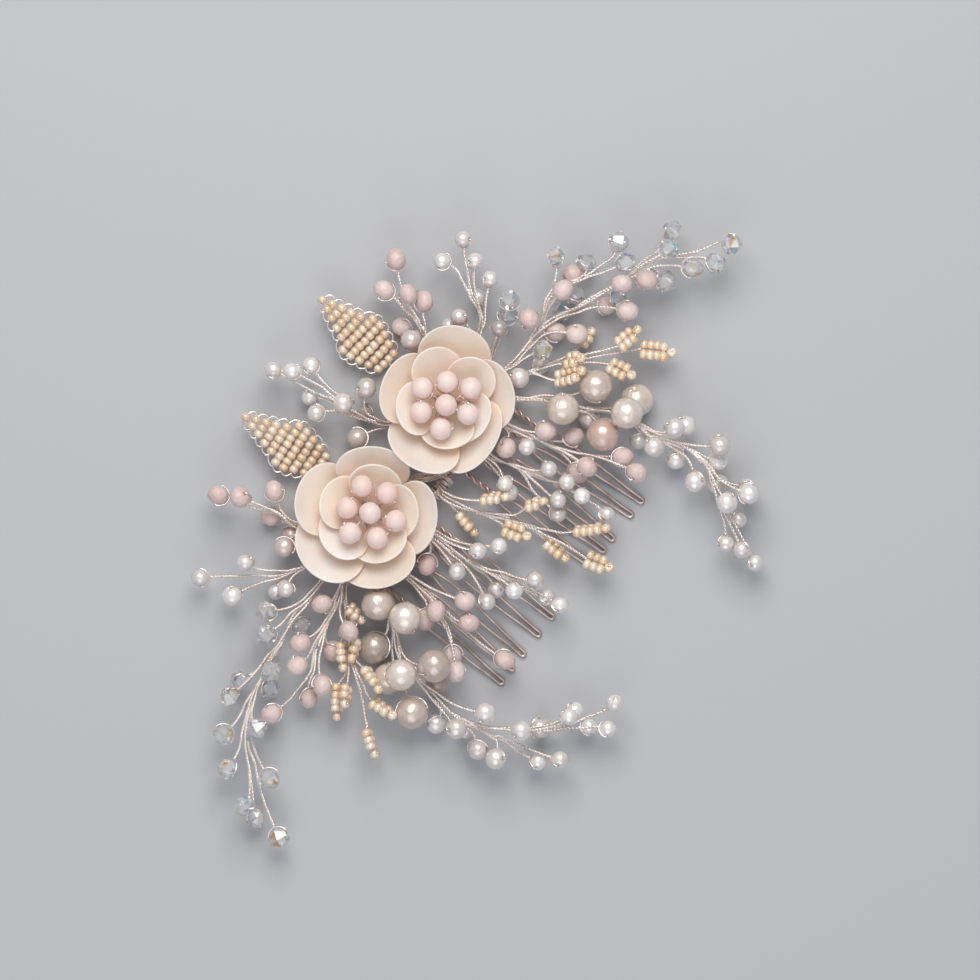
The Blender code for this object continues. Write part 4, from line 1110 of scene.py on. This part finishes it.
def makePetal(node, disc, centre, shape, whorl):
    heading, reach, halfWidth, shift, *bent = shape
    petal = setCopy(disc, Matrix(), draw.choice(whorl["tones"]))
    mesh = petal.data
    uv = mesh.uv_layers.active or mesh.uv_layers.new(name="petal")
    for corner in mesh.loops:   # U runs across the petal and V from its root to its end
        flat = mesh.vertices[corner.vertex_index].co
        uv.data[corner.index].uv = (0.5 + flat.x / 2, 0.5 + flat.y / 2)
    phases = [draw.uniform(0, 2 * math.pi) for lobe in flower["lobes"]]
    half = (reach - whorl["start"]) / 2
    ahead = Matrix.Rotation(math.radians(heading), 2)
    for vertex in mesh.vertices:
        across, run = vertex.co.x, vertex.co.y
        along = (run + 1) / 2
        turn = math.atan2(across, run)
        wave = 0
        for (count, strength), phase in zip(flower["lobes"], phases):
            wave += strength * math.sin(count * turn + phase)
        width = halfWidth * across * (1 + flower["egg"] * run)
        out = whorl["start"] + half * (1 + run) - whorl["bend"] * across ** 2
        flat = Vector((out, width + shift * along))
        climb = max(flat.length - whorl["start"], 0) / (reach - whorl["start"])
        lift = (whorl["rise"] + sum(bent)) * climb ** flower["curve"] + whorl["pinwheel"] * width
        lift += (whorl["cup"] * across ** 2 + flower["wave"] * wave * math.hypot(across, run) ** 3) * along
        flat = ahead @ flat
        vertex.co = centre + Vector((flat.x, flat.y, whorl["seat"] + lift))
    applyModifier(petal, "SOLIDIFY", thickness=flower["thickness"], offset=-1)
    applyModifier(petal, "SUBSURF", levels=1, render_levels=1)
    takeUp(petal)
    editAll()
    bpy.ops.mesh.normals_make_consistent(inside=False)
    leaveEdit()
    finishPiece(petal, node + "_shell", petalClay, "petal_clay", node)


def makePad(node):              # turned felt pad with soft edges
    middle, half = nodeBox(node)
    startFresh()
    bpy.ops.mesh.primitive_cylinder_add(vertices=flower["padSides"], radius=half.x, depth=flower["padWall"],
                                        location=(0, 0, flower["padWall"] / 2))
    pad = bpy.context.object
    bpy.ops.object.transform_apply(location=True)
    bpy.ops.object.mode_set(mode="EDIT")
    pickEnd(pad, flower["padWall"])
    outer = half.x
    top = flower["padWall"]
    for radius, height in flower["padProfile"]:
        if outer > radius:
            bpy.ops.mesh.inset(thickness=outer - radius)
        if height > top:
            bpy.ops.mesh.extrude_region_move(TRANSFORM_OT_translate={"value": (0, 0, height - top)})
        outer, top = radius, height
    bpy.ops.object.mode_set(mode="OBJECT")
    applyModifier(pad, "BEVEL", width=flower["padEdge"], segments=3, limit_method="ANGLE",
                  angle_limit=math.radians(40))
    bpy.ops.object.shade_smooth()
    pad.data.transform(Matrix.Translation((middle.x, middle.y, 0)))
    finishPiece(pad, node + "_felt", woolFelt, "felt", node)


def makeCentre(node, centre, stamens):  # the bead stamens and their wires
    foot = centre + upward * flower["foot"]
    fork = centre + upward * flower["fork"]
    tips = [centre + upward * (flower["stamenHeight"] + flower["centreLift"])]
    tips += [plan(x, y, flower["stamenHeight"]) for x, y in stamens]
    radius = beads["pink_bead"]["size"] / 2
    trunk = [foot, mixed(foot, fork, 0.5), fork]
    routes = limbBundle(trunk, wire["trunkPairs"])
    copies = []
    for tip in tips:
        route, arriving = stemRoute(trunk, flower["forkShare"], tip, radius + wire["strand"] / 2)
        axis = Vector((1, 0, 0))
        if tip != tips[0]:
            axis = acrossOf(arriving, draw.uniform(-flower["stamenRoll"], flower["stamenRoll"]))
        routes += twistedPair(route)
        routes += beadLoop(tip, axis, -arriving, radius, radius + flower["looseLoop"])
        facing = (axis * arriving.dot(axis) - arriving).normalized()
        spot = standing(tip, axis, facing, radius, flower["stamenLong"])
        copies.append(setCopy(masters["blush"], spot, draw.choice(flower["blushTones"])))
    finishPiece(drawWires(routes, wire["strand"] / 2), node + "_wire", roseWire, "binding_wire", node)
    finishPiece(gather(copies), node + "_beads", blushGlass, "pink_bead", node)


disc = petalDisc()
for name in ("flower_1", "flower_2"):
    centre = plan(*flower[name]["plan"], 0)
    makePad(name + "_backing")
    for whorl in ("outer", "inner"):
        for number, shape in enumerate(flower[name][whorl], 1):
            makePetal(f"{name}_{whorl}_petal_{number}", disc, centre, shape, flower[whorl])
    makeCentre(name + "_centre", centre, flower[name]["stamens"])
print("flowers made")


# Wire combs: each tooth is one wire, twisted at its root and bent to a hairpin

comb = {
    "teeth": 5,
    "pitch": 4.75,
    "toothWire": 0.76,
    "reach": 40.5,              # spine centre to tooth tip
    "twistLength": 9.0,
    "twistPitch": 4.5,
    "spread": 2.6,              # between the prongs at their widest
    "tipSpread": 1.15,
    # share of the way to the tip and of the widest spread, for the bends of a prong
    "prong": ((0.06, 0.52), (0.14, 0.82), (0.24, 1.0), (0.45, 0.93), (0.65, 0.77), (0.85, 0.5)),
    "knee": (0.955, 1.05),      # the last of them, against the spread at the tip
    "tipShare": 0.975,          # where the round end starts
    "tipDepth": 0.9,            # its depth against half the spread there
    "tipSteps": 6,
    "twistSteps": 22,
    "twistRoom": 1.02,          # keeps the two strands of a twist just apart
    "routeStep": 1.6,
    # how far each tip leans away from the binding, from the innermost tooth outwards
    "drift": {"comb_1": (1.0, 0.8, -0.5, 1.9, 1.3), "comb_2": (0.4, 0.9, 2.1, 1.7, 1.0)},
    "sides": {"comb_1": 1, "comb_2": -1},   # the way out from the binding along X
    "winding": 0.42,            # fine wire wound over the spine
    "windingPitch": 0.55,
    "windingCorner": 0.55,      # radius at the corners of the spine
    "barEdge": 0.6,
}


def makeTooth(node, root, drift, tipY):
    strand = comb["toothWire"] / 2          # also the height of the tip, which lies flat
    prongsY = root.y - comb["twistLength"]
    half = comb["spread"] / 2
    tipHalf = comb["tipSpread"] / 2

    def along(share, spread):
        return Vector((root.x + drift * share + spread, prongsY + (tipY - prongsY) * share,
                       root.z + (strand - root.z) * share ** 2))

    turns = comb["twistLength"] / comb["twistPitch"]
    helix = {1: [], -1: []}
    for side in helix:          # the twisted root ends with its two strands side by side
        for step in range(comb["twistSteps"] + 1):
            share = step / comb["twistSteps"]
            angle = 2 * math.pi * turns * (share - 1)
            offset = Vector((math.cos(angle), 0, math.sin(angle))) * side * strand * comb["twistRoom"]
            helix[side].append(Vector((root.x, mixed(root.y, prongsY, share), root.z)) + offset)
    knee, kneeSpread = comb["knee"]
    out = [along(share, -half * width) for share, width in comb["prong"]]
    out.append(along(knee, -tipHalf * kneeSpread))
    bend = []
    for step in range(comb["tipSteps"] + 1):        # round end of the hairpin
        angle = math.pi * step / comb["tipSteps"]
        beyond = Vector((0, -math.sin(angle) * tipHalf * comb["tipDepth"], 0))
        bend.append(along(comb["tipShare"], -tipHalf * math.cos(angle)) + beyond)
    back = [along(knee, tipHalf * kneeSpread)]
    back += [along(share, half * width) for share, width in reversed(comb["prong"])]
    prongs = smoothRoute([helix[-1][-1]] + out + bend + back + [helix[1][-1]], comb["routeStep"])
    route = helix[-1][:-1] + prongs + list(reversed(helix[1][:-1]))
    finishPiece(drawWires([route], strand, 3), node + "_wire", combWire, "comb_wire", node)


def windRound(middle, half, wireDia, pitch, ring):      # a winding along X; ring gives the cross-section
    end = half - wireDia / 2
    count = math.ceil(end * 2 / pitch * len(ring))
    points = []
    for step in range(count + 1):
        y, z = ring[step % len(ring)]
        points.append(middle + Vector((mixed(-end, end, step / count), y, z)))
    return points


def makeSpine(node):
    middle, half = nodeBox(node)
    bare = comb["winding"]
    startFresh()
    bpy.ops.mesh.primitive_cube_add(size=2, location=middle)
    bar = bpy.context.object
    editAll()
    bpy.ops.transform.resize(value=(half.x, half.y - bare, half.z - bare))
    bpy.ops.object.mode_set(mode="OBJECT")
    bpy.ops.object.transform_apply(location=True)
    applyModifier(bar, "BEVEL", width=comb["barEdge"], segments=3)
    bpy.ops.object.shade_smooth_by_angle(angle=math.radians(35))
    finishPiece(bar, node + "_bar", combWire, "comb_wire", node)
    corner = comb["windingCorner"]
    y = half.y - bare / 2 - corner
    z = half.z - bare / 2 - corner
    ring = []
    for turn, (signY, signZ) in enumerate(((1, 1), (-1, 1), (-1, -1), (1, -1))):
        for step in range(3):   # round each corner of the bar in three points
            angle = math.radians(90 * turn + 45 * step)
            ring.append((signY * y + corner * math.cos(angle), signZ * z + corner * math.sin(angle)))
    winding = drawWires([windRound(middle, half.x, bare, comb["windingPitch"], ring)], bare / 2)
    finishPiece(winding, node + "_winding", combWire, "comb_wire", node)


for name, side in comb["sides"].items():
    middle, half = nodeBox(name + "_spine")
    makeSpine(name + "_spine")
    for number in range(comb["teeth"]):
        outwards = (number - (comb["teeth"] - 1) / 2) * comb["pitch"]
        root = Vector((middle.x + side * outwards, middle.y - half.y - layout["seatGap"], middle.z))
        drift = side * comb["drift"][name][number]
        makeTooth(f"{name}_tooth_{number + 1}", root, drift, middle.y - comb["reach"])
print("combs made")


# Binding between the combs: a bundle of wires, wound over by hand, with loose ends to the flowers

binding = {
    "bundle": 6,                # wires round one in the middle
    "bundleWire": 0.8,
    "bundlePitch": 9.0,
    "bundleStep": 0.7,
    "wire": 0.32,
    "windings": ((0.62, 1), (0.9, -1), (1.3, 1), (1.7, -1)),    # pitch and sense of each winding
    "depth": 0.4,               # how far a winding sinks below the outside
    "turnPoints": 12,
    "looseEnds": 18,
    "looseFrom": (405, 484, 3.6),
    "looseTo": (449, 470, 3.6),
    "looseSpread": 5.0,         # drawing units
    "looseHeight": 6.6,
    "looseDrop": 1.2,           # most that an end lies lower
    "looseStep": 0.8,
    "arch": ((0, 0), (0.3, 0.8), (0.6, 1), (1, 0)),     # share of the way, and of the rise to that height
}


def makeBinding():
    middle, half = nodeBox("binding_core")
    thick = binding["bundleWire"]
    straight = [middle + Vector((x * half.x, 0, 0)) for x in (-1, -0.5, 0, 0.5, 1)]
    offset = half.z - thick / 2
    middles = smoothRoute(straight, binding["bundleStep"])
    ropes = twist(middles, binding["bundle"], (offset, offset), binding["bundlePitch"])
    core = drawWires(ropes + [straight], thick / 2, 2)
    finishPiece(core, "binding_core_bundle", combWire, "binding_wire", "binding_core")
    size = nodeBox("binding_wire")[1]
    span = size.x - binding["wire"]
    coils = []
    for pitch, sense in binding["windings"]:
        turns = 2 * span / pitch
        count = math.ceil(turns * binding["turnPoints"])
        slips = [draw.uniform(0, 1) for turn in range(math.ceil(turns) + 3)]    # how loose each turn lies
        coil = []
        for step in range(count + 1):
            turn = turns * step / count
            slip = mixed(slips[int(turn)], slips[int(turn) + 1], turn - int(turn))
            radius = size.z - binding["wire"] / 2 - binding["depth"] * slip
            x = max(-span, min(span, mixed(-span, span, step / count) + (slip - 0.5) * pitch))
            angle = 2 * math.pi * turn * sense
            coil.append(middle + Vector((x, radius * math.cos(angle), radius * math.sin(angle))))
        coils.append(coil)
    for end in range(binding["looseEnds"]):
        route = []
        for share, lift in binding["arch"]:
            x, y, z = [mixed(a, b, share) for a, b in zip(binding["looseFrom"], binding["looseTo"])]
            wander = [draw.uniform(-1, 1) * binding["looseSpread"] for axis in range(2)]
            height = mixed(z, binding["looseHeight"], lift) - draw.uniform(0, binding["looseDrop"])
            route.append(plan(x + wander[0], y + wander[1], height))
        coils.append(smoothRoute(route, binding["looseStep"]))
    winding = drawWires(coils, binding["wire"] / 2)
    finishPiece(winding, "binding_wire_winding", roseWire, "binding_wire", "binding_wire")


makeBinding()
for master in list(masters.values()) + [disc]:
    bpy.data.objects.remove(master)
print("binding made")


# Floor, light and camera

stage = {
    "floor": "#b9bbbf",
    "floorSize": 6,             # metres, as are the lamps and the camera
    "floorDrop": 0.0001,
    "sky": "#eef1f5",
    "skyStrength": (0.2, 0.56),     # at the horizon and overhead
    "key": {"place": (0.4, 0.33, 0.73), "size": 0.7, "power": 6.3, "colour": "#fffaf4"},
    "fill": {"place": (-0.5, -0.3, 0.6), "size": 0.7, "power": 1.7, "colour": "#f6f7ff"},
    "view": (490, 490),         # drawing point in the middle of the photo
    "height": 1.2,
    "frame": 980,               # drawing units across the photo
}


def makeStage():
    startFresh()
    bpy.ops.mesh.primitive_plane_add(size=stage["floorSize"], location=(0, 0, -stage["floorDrop"]))
    floor = bpy.context.object
    floor.name = "floor"
    finish, tree, shader, spot = newMaterial("matt_card")
    grain = addNode(tree, "TexNoise", {"Vector": (spot, "Object"), "Scale": metre / 1.5, "Detail": 4.0})
    bump = addNode(tree, "Bump", {"Height": (grain, 0), "Strength": 0.12, "Distance": 0.0002})
    setInputs(tree, shader, {"Base Color": hexColour(stage["floor"]), "Normal": (bump, 0),
                             "Roughness": 0.8, "Specular IOR Level": 0.2})
    floor.data.materials.append(finish)
    world = bpy.data.worlds.new("studio")
    world.use_nodes = True
    tree = world.node_tree
    dim, bright = stage["skyStrength"]
    spot = addNode(tree, "TexCoord")
    split = addNode(tree, "SeparateXYZ", {0: (spot, "Generated")})
    height = addNode(tree, "MapRange", {0: (split, "Z"), 1: 0.0, 2: 1.0, 3: dim, 4: bright})
    setInputs(tree, tree.nodes["Background"], {"Color": hexColour(stage["sky"]), "Strength": (height, 0)})
    bpy.context.scene.world = world
    for name in ("key", "fill"):
        light = stage[name]
        place = Vector(light["place"])
        aim = place.to_track_quat("Z", "Y").to_euler()
        bpy.ops.object.light_add(type="AREA", location=place, rotation=aim)
        lamp = bpy.context.object
        lamp.name = name
        lamp.data.shape = "DISK"
        lamp.data.size = light["size"]
        lamp.data.energy = light["power"]
        lamp.data.color = hexColour(light["colour"])[:3]
    eye = plan(*stage["view"], 0) / metre
    bpy.ops.object.camera_add(location=(eye.x, eye.y, stage["height"]),
                              rotation=(0, 0, math.radians(-layout["spineTilt"])))
    camera = bpy.context.object
    camera.data.type = "ORTHO"
    camera.data.ortho_scale = stage["frame"] / layout["unitsPerMm"] / metre
    bpy.context.scene.camera = camera
    bpy.context.scene.view_settings.view_transform = "Standard"


makeStage()
print("stage set")
